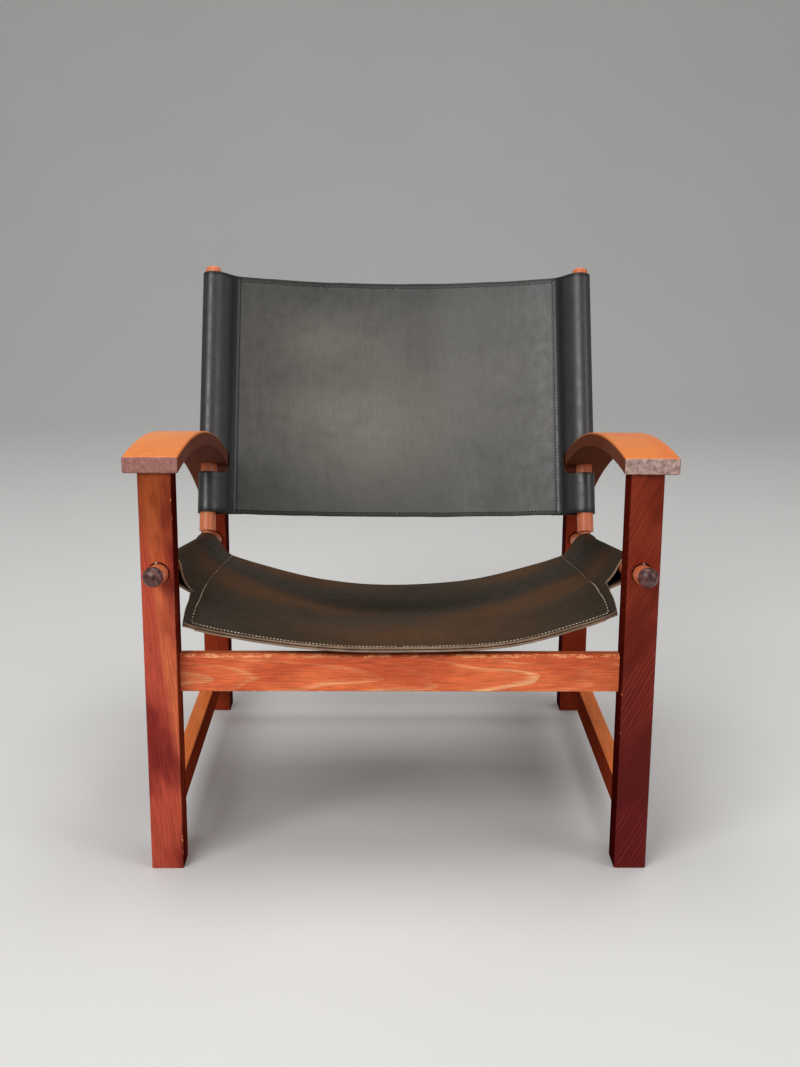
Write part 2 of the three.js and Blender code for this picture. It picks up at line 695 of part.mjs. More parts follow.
function makeSeat() {
  const stations = SEAT_PLACE_SHARES.map((share) => THREE.MathUtils.lerp(SEAT_FRONT, SEAT_REAR, share));
  const inPanel = [...stations.filter((along) => along < SEAT_SLEEVE_FRONT), SEAT_SLEEVE_FRONT];
  const inSleeves = [SEAT_SLEEVE_FRONT, ...stations.filter((along) => along > SEAT_SLEEVE_FRONT)];
  const reach = LEG_SPAN / 2 - LEG_SIDE - PANEL_CLEAR;
  const panel = inPanel.map((along) => panelSection(seatSectionAt(along), SEAT_SEAM_INSET, reach));
  const sleeves = inSleeves.map((along) => slingSection(seatSectionAt(along), SEAT_SEAM_INSET));
  const solid = loft(sleeves, inSleeves).add(loft(panel, inPanel));
  return placeSling(makeMesh('seat_sling', toGeometry(solid), SEAT_LEATHER), RAIL_ALONG, railPoint(0, 0));
}

// Length along the post at which its axis meets a surface of the arm
function postMeetsArm(radius) {
  let along = POST_SHOULDER;
  for (let step = 0; step < ARC_STEPS; step++) {
    const [, y, z] = postPoint(1, along);
    along += (armHeightAt(y, radius) - z) * POST_ALONG.z;
  }
  return along;
}

function makeBack() {
  const stations = BACK_PLACE_SHARES.map((share) => THREE.MathUtils.lerp(BACK_LOW, BACK_HIGH, share));
  const sections = stations.map((_, index) => slingSection({
    inner: POST_RADIUS + GAP,
    depth: BACK_DEPTH * BACK_DEPTH_SHARES[index],
    seamDrop: BACK_SEAM_DROP * BACK_SEAM_SHARES[index],
    bow: BACK_BOW,
    loose: 1,
  }, BACK_SEAM_INSET));
  let solid = loft(sections, stations);
  const low = postMeetsArm(ARM_LOW_RADIUS) - BACK_CUT_LOW;
  const high = postMeetsArm(ARM_TOP_RADIUS) + BACK_CUT_HIGH;
  const innerX = ARM_X - ARM_WIDTH / 2 - BACK_CUT_IN;
  for (const { sign } of SIDES) {
    const halfWidth = (LEG_SPAN - innerX) / 2;
    const shape = roundedRect(halfWidth, (high - low) / 2, BACK_CUT_ROUND, BACK_CUT_ROUND);
    const cutter = extrude(shape, LEG_SPAN).translate(0, 0, -LEG_SPAN / 2);
    cutter.translate(sign * (innerX + halfWidth), (low + high) / 2, 0);
    solid = solid.subtract(toSolid(cutter));
  }
  return placeSling(makeMesh('back_sling', toGeometry(solid), BACK_LEATHER), POST_ALONG, postPoint(0, 0));
}

const chair = new THREE.Group();
chair.name = 'sling_lounge_chair';
for (const side of SIDES) {
  chair.add(makeLeg(side, true));
  chair.add(makeLeg(side, false));
  chair.add(makeArm(side));
  chair.add(makeDowel(side, true));
  chair.add(makeDowel(side, false));
  chair.add(makeSideStretcher(side));
  chair.add(makeRail(side));
  chair.add(makePost(side));
}
chair.add(makeCrossStretcher('front_stretcher', STRETCHER_PLACES.front, WOOD));
chair.add(makeCrossStretcher('rear_stretcher', STRETCHER_PLACES.rear, WOOD));
chair.add(makeSeat());
chair.add(makeBack());

// The chair's own origin: the middle of its box, on the floor
chair.updateMatrixWorld(true);
const box = new THREE.Box3().setFromObject(chair, true);
chair.position.set(0, -(box.min.y + box.max.y) / 2, 0);
chair.updateMatrixWorld(true);

export default chair;
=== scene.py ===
"""The looks of a leather sling lounge chair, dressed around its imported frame.

Metres. +X is to the right as seen from the front, +Y runs from front to back and +Z is up.
Every wooden piece and both slings are modelled again, finer than the frame's solids and in the
same places. Only the hidden dowels keep the frame's own meshes.
"""

import json
import logging
import math
from collections.abc import Callable, Iterable, Sequence
from dataclasses import dataclass, field
from enum import Enum
from itertools import accumulate

import bmesh
import bpy
from bmesh.types import BMEdge, BMesh, BMFace, BMVert
from mathutils import Matrix, Vector, noise

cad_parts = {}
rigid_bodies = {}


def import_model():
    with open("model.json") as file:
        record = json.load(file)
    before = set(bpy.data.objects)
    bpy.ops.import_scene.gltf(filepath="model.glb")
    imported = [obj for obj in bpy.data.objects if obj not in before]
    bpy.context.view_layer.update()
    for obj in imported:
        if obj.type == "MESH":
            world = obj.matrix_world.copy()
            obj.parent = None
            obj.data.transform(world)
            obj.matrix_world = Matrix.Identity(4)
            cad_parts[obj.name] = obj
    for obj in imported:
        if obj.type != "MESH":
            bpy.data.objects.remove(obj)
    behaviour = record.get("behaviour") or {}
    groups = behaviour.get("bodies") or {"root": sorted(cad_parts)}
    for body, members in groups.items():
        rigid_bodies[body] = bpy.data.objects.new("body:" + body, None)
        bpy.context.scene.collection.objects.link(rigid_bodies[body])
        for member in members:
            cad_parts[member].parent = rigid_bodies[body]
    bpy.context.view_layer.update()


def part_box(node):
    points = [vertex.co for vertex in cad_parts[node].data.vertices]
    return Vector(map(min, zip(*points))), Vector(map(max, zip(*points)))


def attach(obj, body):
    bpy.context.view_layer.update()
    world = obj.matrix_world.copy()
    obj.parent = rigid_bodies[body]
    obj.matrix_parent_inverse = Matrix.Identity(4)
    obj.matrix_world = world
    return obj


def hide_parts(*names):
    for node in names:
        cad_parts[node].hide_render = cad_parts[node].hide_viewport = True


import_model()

LOG = logging.getLogger("sling_chair")

Colour = tuple[float, float, float]
Socket = bpy.types.NodeSocket
Inputs = dict[str | int, object]

FRONT_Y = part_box("front_leg_left")[0][1]  # the front faces of the front legs
GAP = 0.0003  # between pieces that touch
OVERRUN = 0.01  # how far a cutting solid runs past what it cuts
SHARP_ANGLE = math.radians(40)  # an edge that turns more than this stays crisp
CORNER_ANGLE = 1.0  # an edge that turns more than this is a corner of a board
WELD = 1e-6  # points this close are one
END_ON = 0.9  # how squarely an end-grain face looks along its board
FACING = 0.99  # how squarely a board's plain end looks along it
DOWEL_SIDES = 24
HOLE_SIDES = 72
UP = Vector((0, 0, 1))


class Side(Enum):
    """A side of the chair as seen from the front."""

    LEFT = -1
    RIGHT = 1

    @property
    def label(self) -> str:
        """The side's word in the names of pieces."""
        return self.name.lower()


class End(Enum):
    """An end of the chair."""

    FRONT = "front"
    REAR = "rear"


class Slot(Enum):
    """The record's material slots."""

    LEG = "leg_wood"
    ARM = "arm_wood"
    STRETCHER = "stretcher_wood"
    ROD = "rod_wood"
    SEAT = "seat_leather"
    BACK = "back_leather"


# Places that several pieces share


@dataclass(frozen=True)
class RodLine:
    """A pair of parallel sloping rods, and the directions that belong to them.

    A place is given by x across the chair, s along the rods and n square to both, towards the
    sitter.
    """

    half_span: float
    start_back: float
    start_height: float
    rise: float
    radius: float

    @property
    def along(self) -> Vector:
        """The rods' own direction."""
        return Vector((0, math.cos(self.rise), math.sin(self.rise)))

    @property
    def normal(self) -> Vector:
        """The direction towards the sitter."""
        return Vector((0, -math.sin(self.rise), math.cos(self.rise)))

    def at(self, x: float, s: float, n: float = 0.0) -> Vector:
        """The point of the chair at a place beside the rods."""
        start = Vector((x, FRONT_Y + self.start_back, self.start_height))
        return start + s * self.along + n * self.normal

    def placement(self, side: Side) -> Matrix:
        """Place a rod that was modelled along +Z from the origin.

        Args:
            side: The side of the chair.

        Returns:
            The matrix that takes +Z to the rod's direction and the origin to its start.
        """
        across = Vector((1, 0, 0))
        turn = Matrix((across, self.along.cross(across), self.along)).transposed().to_4x4()
        return Matrix.Translation(self.at(side.value * self.half_span, 0)) @ turn

    def height_at(self, back: float) -> float:
        """The axes' height at a depth behind the legs' front faces."""
        return self.start_height + (back - self.start_back) * math.tan(self.rise)


@dataclass(frozen=True)
class LegPlan:
    """The four square legs, seen from above."""

    side: float = 0.0415
    span: float = 0.640
    pitch: float = 0.570

    @property
    def x(self) -> float:
        """The legs' middle, off the chair's middle."""
        return (self.span - self.side) / 2

    def back(self, end: End) -> float:
        """How far the middle of a leg lies behind the front faces."""
        return self.side / 2 + (0.0 if end is End.FRONT else self.pitch)


@dataclass(frozen=True)
class ArmBow:
    """The arc that both arms follow in side view."""

    radius: float = 1.200
    thick: float = 0.021
    width: float = 0.068
    peak_back: float = 0.068
    peak_height: float = 0.5445
    x: float = 0.303

    def height_at(self, back: float, below_top: float = 0.0) -> float:
        """Find the height of the arm, or of a layer inside it.

        Args:
            back: How far behind the legs' front faces.
            below_top: How far under the top face, square to the arc.

        Returns:
            The height over the floor.
        """
        radius = self.radius - below_top
        centre = self.peak_height - self.radius
        return centre + math.sqrt(radius**2 - (back - self.peak_back) ** 2)


LEGS = LegPlan()
BOW = ArmBow()
RAILS = RodLine(
    half_span=0.298, start_back=LEGS.side / 2, start_height=0.3915, rise=math.radians(-9.7), radius=0.0125
)
POST_FOOT_BACK = 0.4735
POSTS = RodLine(
    half_span=0.298,
    start_back=POST_FOOT_BACK,
    start_height=RAILS.height_at(POST_FOOT_BACK),
    rise=math.radians(67),
    radius=0.0125,
)


# Curves


def lerp(a: float, b: float, share: float) -> float:
    """The value a share of the way from a to b."""
    return a + (b - a) * share


def smooth(low: float, high: float, value: float) -> float:
    """Rise softly from 0 at low to 1 at high."""
    share = min(1.0, max(0.0, (value - low) / (high - low)))
    return share * share * (3 - 2 * share)


def table_at(places: Sequence[float], values: Sequence[float], place: float) -> float:
    """Read a table between its entries.

    Args:
        places: The entries' places, rising.
        values: What each place holds.
        place: The place to read.

    Returns:
        The value there, on a curve that runs smoothly through the entries.
    """
    place = min(max(place, places[0]), places[-1])
    index = next(i for i in range(1, len(places)) if places[i] >= place)
    width = places[index] - places[index - 1]
    share = (place - places[index - 1]) / width

    def slope(entry: int) -> float:
        """The curve's slope at an entry, from its two neighbours."""
        before, after = max(0, entry - 1), min(len(places) - 1, entry + 1)
        return (values[after] - values[before]) / (places[after] - places[before])

    low, high = values[index - 1], values[index]
    rise_low, rise_high = slope(index - 1) * width, slope(index) * width
    square, cube = share**2, share**3
    return (
        low * (2 * cube - 3 * square + 1)
        + rise_low * (cube - 2 * square + share)
        + high * (3 * square - 2 * cube)
        + rise_high * (cube - square)
    )


def turned(angle: float, length: float = 1.0) -> Vector:
    """A plane vector of a length at an angle."""
    return Vector((length * math.cos(angle), length * math.sin(angle)))


def bezier(
    start: Vector, start_angle: float, end: Vector, end_angle: float, stiffness: float, steps: int
) -> list[Vector]:
    """Run a curve between two points, leaving each along its own line.

    Args:
        start: The first point.
        start_angle: The curve's direction there.
        end: The last point.
        end_angle: The curve's direction there.
        stiffness: The handles' length, as a share of the span.
        steps: How many stretches to return.

    Returns:
        The curve's points, the two ends among them.
    """
    handle = stiffness * (end - start).length
    first = start + turned(start_angle, handle)
    second = end - turned(end_angle, handle)
    points = []
    for step in range(steps + 1):
        t = step / steps
        u = 1 - t
        points.append(u**3 * start + 3 * u**2 * t * first + 3 * u * t**2 * second + t**3 * end)
    return points


def spread(points: Sequence[Vector], lengths: Sequence[float]) -> list[Vector]:
    """Find the points at given lengths along a polyline.

    Args:
        points: The polyline.
        lengths: The lengths from its start, rising.

    Returns:
        One point for each length.
    """
    found, travelled, index = [], 0.0, 0
    for length in lengths:
        step = (points[index + 1] - points[index]).length
        while travelled + step < length and index + 2 < len(points):
            travelled += step
            index += 1
            step = (points[index + 1] - points[index]).length
        found.append(points[index].lerp(points[index + 1], min(1.0, (length - travelled) / step)))
    return found


def span_of(points: Sequence[Vector]) -> float:
    """The length of a polyline."""
    return sum((b - a).length for a, b in zip(points, points[1:]))


def lengths_along(points: Sequence[Vector]) -> list[float]:
    """How far along a polyline each of its points lies."""
    return list(accumulate(((b - a).length for a, b in zip(points, points[1:])), initial=0.0))


# Meshes


def box(low: Sequence[float], high: Sequence[float]) -> BMesh:
    """Make a closed box between two corners.

    Args:
        low: The lowest corner.
        high: The highest corner.

    Returns:
        The box.
    """
    low, high = Vector(low), Vector(high)
    bm = bmesh.new()
    place = Matrix.Translation((low + high) / 2) @ Matrix.Diagonal((*(high - low), 1))
    bmesh.ops.create_cube(bm, size=1.0, matrix=place)
    return bm


def rod(start: Vector, end: Vector, radius: float, segments: int = 48) -> BMesh:
    """Make a closed cylinder between two points.

    Args:
        start: The middle of one end.
        end: The middle of the other end.
        radius: The radius.
        segments: How many sides it has.

    Returns:
        The cylinder.
    """
    bm = bmesh.new()
    axis = end - start
    place = Matrix.Translation((start + end) / 2) @ axis.to_track_quat("Z", "Y").to_matrix().to_4x4()
    bmesh.ops.create_cone(
        bm, cap_ends=True, segments=segments, radius1=radius, radius2=radius, depth=axis.length,
        matrix=place,
    )
    return bm


def turned_shape(outline: Sequence[tuple[float, float]], segments: int = 64) -> BMesh:
    """Turn an outline round +Z into a closed solid.

    Args:
        outline: Points of radius and height, from one end of the axis to the other.
        segments: How many steps go round.

    Returns:
        The solid.
    """
    bm = bmesh.new()
    verts = [bm.verts.new((radius, 0, height)) for radius, height in outline]
    edges = [bm.edges.new(pair) for pair in zip(verts, verts[1:])]
    bmesh.ops.spin(
        bm, geom=[*verts, *edges], cent=(0, 0, 0), axis=UP, angle=math.tau, steps=segments, use_merge=True
    )
    bmesh.ops.remove_doubles(bm, verts=bm.verts, dist=WELD)
    bmesh.ops.recalc_face_normals(bm, faces=bm.faces)
    return bm


def dome_outline(
    radius: float, height: float, rim: float, sign: int, steps: int = 9
) -> list[tuple[float, float]]:
    """Give the quarter outline of a domed end.

    Args:
        radius: The rod's radius.
        height: How far the tip stands past the rim.
        rim: Where the rim lies along the rod.
        sign: 1 for a dome at the far end, -1 for one at the near end.
        steps: How many stretches the quarter has.

    Returns:
        Points of radius and height, from the rim to the tip.
    """
    angles = [step / steps * math.pi / 2 for step in range(steps + 1)]
    points = [(radius * math.cos(angle), rim + sign * height * math.sin(angle)) for angle in angles]
    points[-1] = (0.0, rim + sign * height)
    return points


def soften(bm: BMesh, edges: Iterable[BMEdge], width: float, segments: int = 3) -> None:
    """Round some edges of a mesh.

    Args:
        bm: The mesh.
        edges: The edges.
        width: How far the rounding reaches on each side of an edge.
        segments: How many steps round it.
    """
    bmesh.ops.bevel(
        bm, geom=list(edges), offset=width, offset_type="OFFSET", affect="EDGES", segments=segments,
        profile=0.5, clamp_overlap=True, material=-1,
    )


def edges_along(bm: BMesh, axis: int) -> list[BMEdge]:
    """The edges that run along one axis."""
    straight = 0.999
    return [e for e in bm.edges if abs((e.verts[1].co - e.verts[0].co).normalized()[axis]) > straight]


def crisp_edges(bm: BMesh, least: float) -> list[BMEdge]:
    """The edges where two faces meet at more than an angle."""
    return [e for e in bm.edges if e.is_manifold and e.calc_face_angle() > least]


def new_object(name: str, bm: BMesh, materials: Sequence[bpy.types.Material] = ()) -> bpy.types.Object:
    """Turn a finished bmesh into an object at the origin, and free it.

    Args:
        name: The piece's name.
        bm: The mesh, in the chair's own place.
        materials: The piece's finishes, in the order of its material indices.

    Returns:
        The new object.
    """
    mesh = bpy.data.meshes.new(name)
    bm.to_mesh(mesh)
    bm.free()
    for material in materials:
        mesh.materials.append(material)
    piece = bpy.data.objects.new(name, mesh)
    bpy.context.scene.collection.objects.link(piece)
    return piece


def cut_away(bm: BMesh, cutters: Sequence[BMesh]) -> BMesh:
    """Take cutting solids out of a solid.

    Args:
        bm: The solid, which is freed.
        cutters: The closed solids to take away, which are freed.

    Returns:
        The solid that is left.
    """
    body = new_object("cut_body", bm)
    tools = [new_object("cut_tool", cutter) for cutter in cutters]
    for tool in tools:
        cut = body.modifiers.new("cut", "BOOLEAN")
        cut.operation = "DIFFERENCE"
        cut.solver = "EXACT"
        cut.object = tool
    left = bmesh.new()
    left.from_object(body, bpy.context.evaluated_depsgraph_get())
    for used in (body, *tools):
        mesh = used.data
        bpy.data.objects.remove(used)
        bpy.data.meshes.remove(mesh)
    bmesh.ops.remove_doubles(left, verts=left.verts, dist=WELD)
    return left


def shade_round(bm: BMesh) -> None:
    """Shade every face smooth."""
    for face in bm.faces:
        face.smooth = True


def shade(bm: BMesh) -> None:
    """Shade every face smooth, and keep the edges that turn sharply crisp.

    Args:
        bm: The mesh.
    """
    shade_round(bm)
    for edge in bm.edges:
        edge.smooth = not (edge.is_manifold and edge.calc_face_angle() > SHARP_ANGLE)


def set_values(mesh: bpy.types.Mesh, name: str, kind: str, domain: str, values: Sequence) -> None:
    """Store an attribute on a mesh.

    Args:
        mesh: The mesh.
        name: The attribute's name.
        kind: FLOAT or FLOAT_VECTOR.
        domain: POINT or FACE.
        values: One value for each point or face.
    """
    layer = mesh.attributes.new(name, kind, domain)
    flat = [part for value in values for part in value] if kind == "FLOAT_VECTOR" else list(values)
    layer.data.foreach_set("vector" if kind == "FLOAT_VECTOR" else "value", flat)


# Node trees


class NodeWriter:
    """Adds nodes to one tree and wires them, so that a finish reads as a list of steps."""

    def __init__(self, tree: bpy.types.NodeTree) -> None:
        """Write into a tree."""
        self.tree = tree

    def put(self, socket: Socket, value: object) -> None:
        """Link a socket to another, or set its own value.

        Args:
            socket: The socket.
            value: The socket to link it to, a plain value, or None to leave it alone.
        """
        if isinstance(value, Socket):
            self.tree.links.new(value, socket)
        elif value is not None:
            socket.default_value = value

    def add(self, kind: str, inputs: Inputs | None = None, **settings: object) -> bpy.types.Node:
        """Add a node.

        Args:
            kind: The node's type.
            inputs: Values or sockets for its inputs, by name or place.
            **settings: The node's own settings.

        Returns:
            The node.
        """
        node = self.tree.nodes.new(kind)
        for name, value in settings.items():
            setattr(node, name, value)
        for name, value in (inputs or {}).items():
            self.put(node.inputs[name], value)
        return node

    def math(self, operation: str, a: object, b: object = None, clamp: bool = False) -> Socket:
        """A Math node's result."""
        return self.add("ShaderNodeMath", {0: a, 1: b}, operation=operation, use_clamp=clamp).outputs[0]

    def plus(self, a: object, b: object, clamp: bool = False) -> Socket:
        """The sum of two values."""
        return self.math("ADD", a, b, clamp)

    def times(self, a: object, b: object, clamp: bool = False) -> Socket:
        """The product of two values."""
        return self.math("MULTIPLY", a, b, clamp)

    def mix(self, share: object, a: object, b: object, blend: str = "MIX") -> Socket:
        """Mix two colours.

        Args:
            share: How much of the second.
            a: The first, a colour or a socket.
            b: The second.
            blend: How it is laid over the first.

        Returns:
            The mixed colour.
        """
        a, b = (value if isinstance(value, Socket) else (*value, 1) for value in (a, b))
        inputs, settings = {0: share, 6: a, 7: b}, {"data_type": "RGBA", "blend_type": blend}
        return self.add("ShaderNodeMix", inputs, **settings).outputs[2]

    def scaled(self, colour: Socket, share: object) -> Socket:
        """A colour multiplied by a value."""
        return self.add("ShaderNodeVectorMath", {0: colour, 3: share}, operation="SCALE").outputs[0]

    def rise(
        self, value: Socket, low: float, high: float, to_low: float = 0.0, to_high: float = 1.0
    ) -> Socket:
        """Map a value from one range to another along a soft step."""
        inputs = {"Value": value, "From Min": low, "From Max": high, "To Min": to_low, "To Max": to_high}
        return self.add("ShaderNodeMapRange", inputs, interpolation_type="SMOOTHSTEP").outputs[0]

    def noise(
        self, vector: Socket, scale: float, detail: float = 2.0, rough: float = 0.5, bend: float = 0.0
    ) -> Socket:
        """A noise between 0 and 1."""
        fade = {"Detail": detail, "Roughness": rough, "Distortion": bend}
        return self.add("ShaderNodeTexNoise", {"Vector": vector, "Scale": scale, **fade}).outputs["Fac"]

    def stretched(
        self, vector: Socket, scale: Sequence[float], detail: float, rough: float = 0.5, bend: float = 0.0
    ) -> Socket:
        """A noise between 0 and 1 with a scale of its own along each axis."""
        place = self.add("ShaderNodeMapping", {"Vector": vector, "Scale": scale}).outputs[0]
        return self.noise(place, 1.0, detail, rough, bend)

    def bump(self, shader: bpy.types.Node, strength: float, distance: float, height: Socket) -> None:
        """Raise a shader's surface by a height."""
        inputs = {"Strength": strength, "Distance": distance, "Height": height}
        self.put(shader.inputs["Normal"], self.add("ShaderNodeBump", inputs).outputs[0])

    def cells(self, vector: Socket, scale: object) -> Socket:
        """The distance to the middles of a cell pattern."""
        return self.add("ShaderNodeTexVoronoi", {"Vector": vector, "Scale": scale}).outputs["Distance"]

    def attribute(self, name: str, output: str = "Fac") -> Socket:
        """An attribute of the piece."""
        return self.add("ShaderNodeAttribute", attribute_name=name).outputs[output]

    def flat_place(self) -> Socket:
        """The place on the flat leather, in metres."""
        return self.add("ShaderNodeUVMap", uv_map=FLAT_MAP).outputs[0]

    def group(self, group: bpy.types.NodeTree, inputs: Inputs) -> bpy.types.Node:
        """A node group with its inputs."""
        return self.add("ShaderNodeGroup", inputs, node_tree=group)


def new_group(name: str, inputs: dict[str, str], outputs: dict[str, str]) -> tuple[NodeWriter, dict, dict]:
    """Start a shader node group.

    Args:
        name: The group's name.
        inputs: Its inputs' names and socket types.
        outputs: Its outputs' names and socket types.

    Returns:
        A writer into it, the sockets that give its inputs, and those that take its outputs.
    """
    group = bpy.data.node_groups.new(name, "ShaderNodeTree")
    for label, kind in inputs.items():
        group.interface.new_socket(label, in_out="INPUT", socket_type=kind)
    for label, kind in outputs.items():
        group.interface.new_socket(label, in_out="OUTPUT", socket_type=kind)
    writer = NodeWriter(group)
    taken = writer.add("NodeGroupInput").outputs
    given = writer.add("NodeGroupOutput").inputs
    return writer, {label: taken[label] for label in inputs}, {label: given[label] for label in outputs}


FLOAT = "NodeSocketFloat"
VECTOR = "NodeSocketVector"
FLAT_MAP = "flat"
BEHIND_LAYER = "behind"


def make_wood_figure() -> bpy.types.NodeTree:
    """Build the figure of sawn wood from a place in the board: along, across and through it.

    Returns:
        A group that puts out the growth rings, fine fibres, pores and broad blotches.
    """
    masks = {"Rings": FLOAT, "Fibres": FLOAT, "Pores": FLOAT, "Blotches": FLOAT}
    w, given, out = new_group("wood_figure", {"Place": VECTOR, "Ring Pitch": FLOAT, "Waver": FLOAT}, masks)
    place = given["Place"]
    wander = w.math("SUBTRACT", w.stretched(place, (5, 22, 22), 2.0), 0.5)
    parts = w.add("ShaderNodeSeparateXYZ", {0: place})
    square = w.plus(w.math("POWER", parts.outputs[1], 2.0), w.math("POWER", parts.outputs[2], 2.0))
    radius = w.plus(w.math("SQRT", square), w.times(wander, given["Waver"]))
    turns = w.math("DIVIDE", radius, given["Ring Pitch"])
    within = w.math("FRACT", turns)
    late = w.times(w.rise(within, 0.62, 0.92), w.rise(within, 1.0, 0.95))
    strength = w.noise(w.add("ShaderNodeCombineXYZ", {0: w.math("FLOOR", turns)}).outputs[0], 0.77, 0.0)
    w.put(out["Rings"], w.times(late, w.rise(strength, 0.25, 0.7, 0.35, 1.0)))
    w.put(out["Fibres"], w.stretched(place, (14, 620, 620), 3.0, 0.6))
    w.put(out["Pores"], w.rise(w.stretched(place, (90, 1700, 1700), 1.0), 0.6, 0.72))
    w.put(out["Blotches"], w.stretched(place, (6, 14, 14), 3.0))
    return w.tree


def make_edge_wear_and_sheen() -> bpy.types.NodeTree:
    """Build specks of rubbing that gather where a mask says the edges are; given a large amount, they also
    paint a highlight along a rounded edge.

    Returns:
        A group that puts out the specks, with their painted highlight, as a mask.
    """
    w, given, out = new_group(
        "edge_wear_and_sheen", {"Place": VECTOR, "Edge": FLOAT, "Amount": FLOAT}, {"Wear_And_Sheen": FLOAT}
    )
    broad = w.stretched(given["Place"], (60, 140, 140), 3.0, 0.6)
    fine = w.stretched(given["Place"], (300, 900, 900), 3.0, 0.7)
    specks = w.plus(w.times(broad, 0.55), w.times(fine, 0.45))
    reach = w.plus(specks, w.times(w.times(given["Edge"], given["Amount"]), 0.2))
    w.put(out["Wear_And_Sheen"], w.rise(reach, 0.66, 0.74))
    return w.tree


def make_hide_grain() -> bpy.types.NodeTree:
    """Build the fine pebbled grain of a hide from a place on it.

    Returns:
        A group that puts out the grain's height and its pits.
    """
    w, given, out = new_group(
        "hide_grain", {"Place": VECTOR, "Pebble": FLOAT}, {"Height": FLOAT, "Pits": FLOAT}
    )
    cell = w.cells(given["Place"], given["Pebble"])
    fine = w.noise(given["Place"], 900.0, 3.0, 0.6)
    height = w.plus(w.times(cell, -0.6), w.times(fine, 0.5))
    w.put(out["Height"], height)
    w.put(out["Pits"], w.rise(cell, 0.55, 0.85))
    return w.tree


def make_rub_marks() -> bpy.types.NodeTree:
    """Build fine streaks of rubbing, along and across a hide, and broad dark smudges.

    Returns:
        A group that puts out both as values between 0 and 1.
    """
    w, given, out = new_group(
        "rub_marks", {"Place": VECTOR, "Across": FLOAT, "Along": FLOAT},
        {"Streaks": FLOAT, "Smudges": FLOAT},
    )
    scale = w.add("ShaderNodeCombineXYZ", {0: given["Across"], 1: given["Along"], 2: 1.0}).outputs[0]
    run = w.add("ShaderNodeVectorMath", {0: given["Place"], 1: scale}, operation="MULTIPLY").outputs[0]
    lengthwise = w.noise(run, 1.0, 4.0, 0.62, 0.3)
    crosswise = w.stretched(given["Place"], (18, 170, 1), 3.0, 0.6, 0.5)
    both = w.plus(w.times(lengthwise, 0.65), w.times(crosswise, 0.35))
    w.put(out["Streaks"], both)
    smudges = w.stretched(given["Place"], (13, 19, 1), 3.0, 0.5, 0.5)
    w.put(out["Smudges"], w.rise(smudges, 0.45, 0.75))
    return w.tree


class SharedEffects:
    """The node groups that several finishes use, each built once."""

    def __init__(self) -> None:
        """Build every group."""
        self.wood_figure = make_wood_figure()
        self.edge_wear_and_sheen = make_edge_wear_and_sheen()
        self.hide_grain = make_hide_grain()
        self.rub_marks = make_rub_marks()


def new_material(name: str) -> tuple[bpy.types.Material, NodeWriter, bpy.types.Node]:
    """Start a material with one Principled shader.

    Args:
        name: The finish's name.

    Returns:
        The material, a writer into its tree, and the shader.
    """
    material = bpy.data.materials.new(name)
    material.use_nodes = True
    material.node_tree.nodes.clear()
    writer = NodeWriter(material.node_tree)
    shader = writer.add("ShaderNodeBsdfPrincipled")
    writer.add("ShaderNodeOutputMaterial", {"Surface": shader.outputs[0]})
    return material, writer, shader


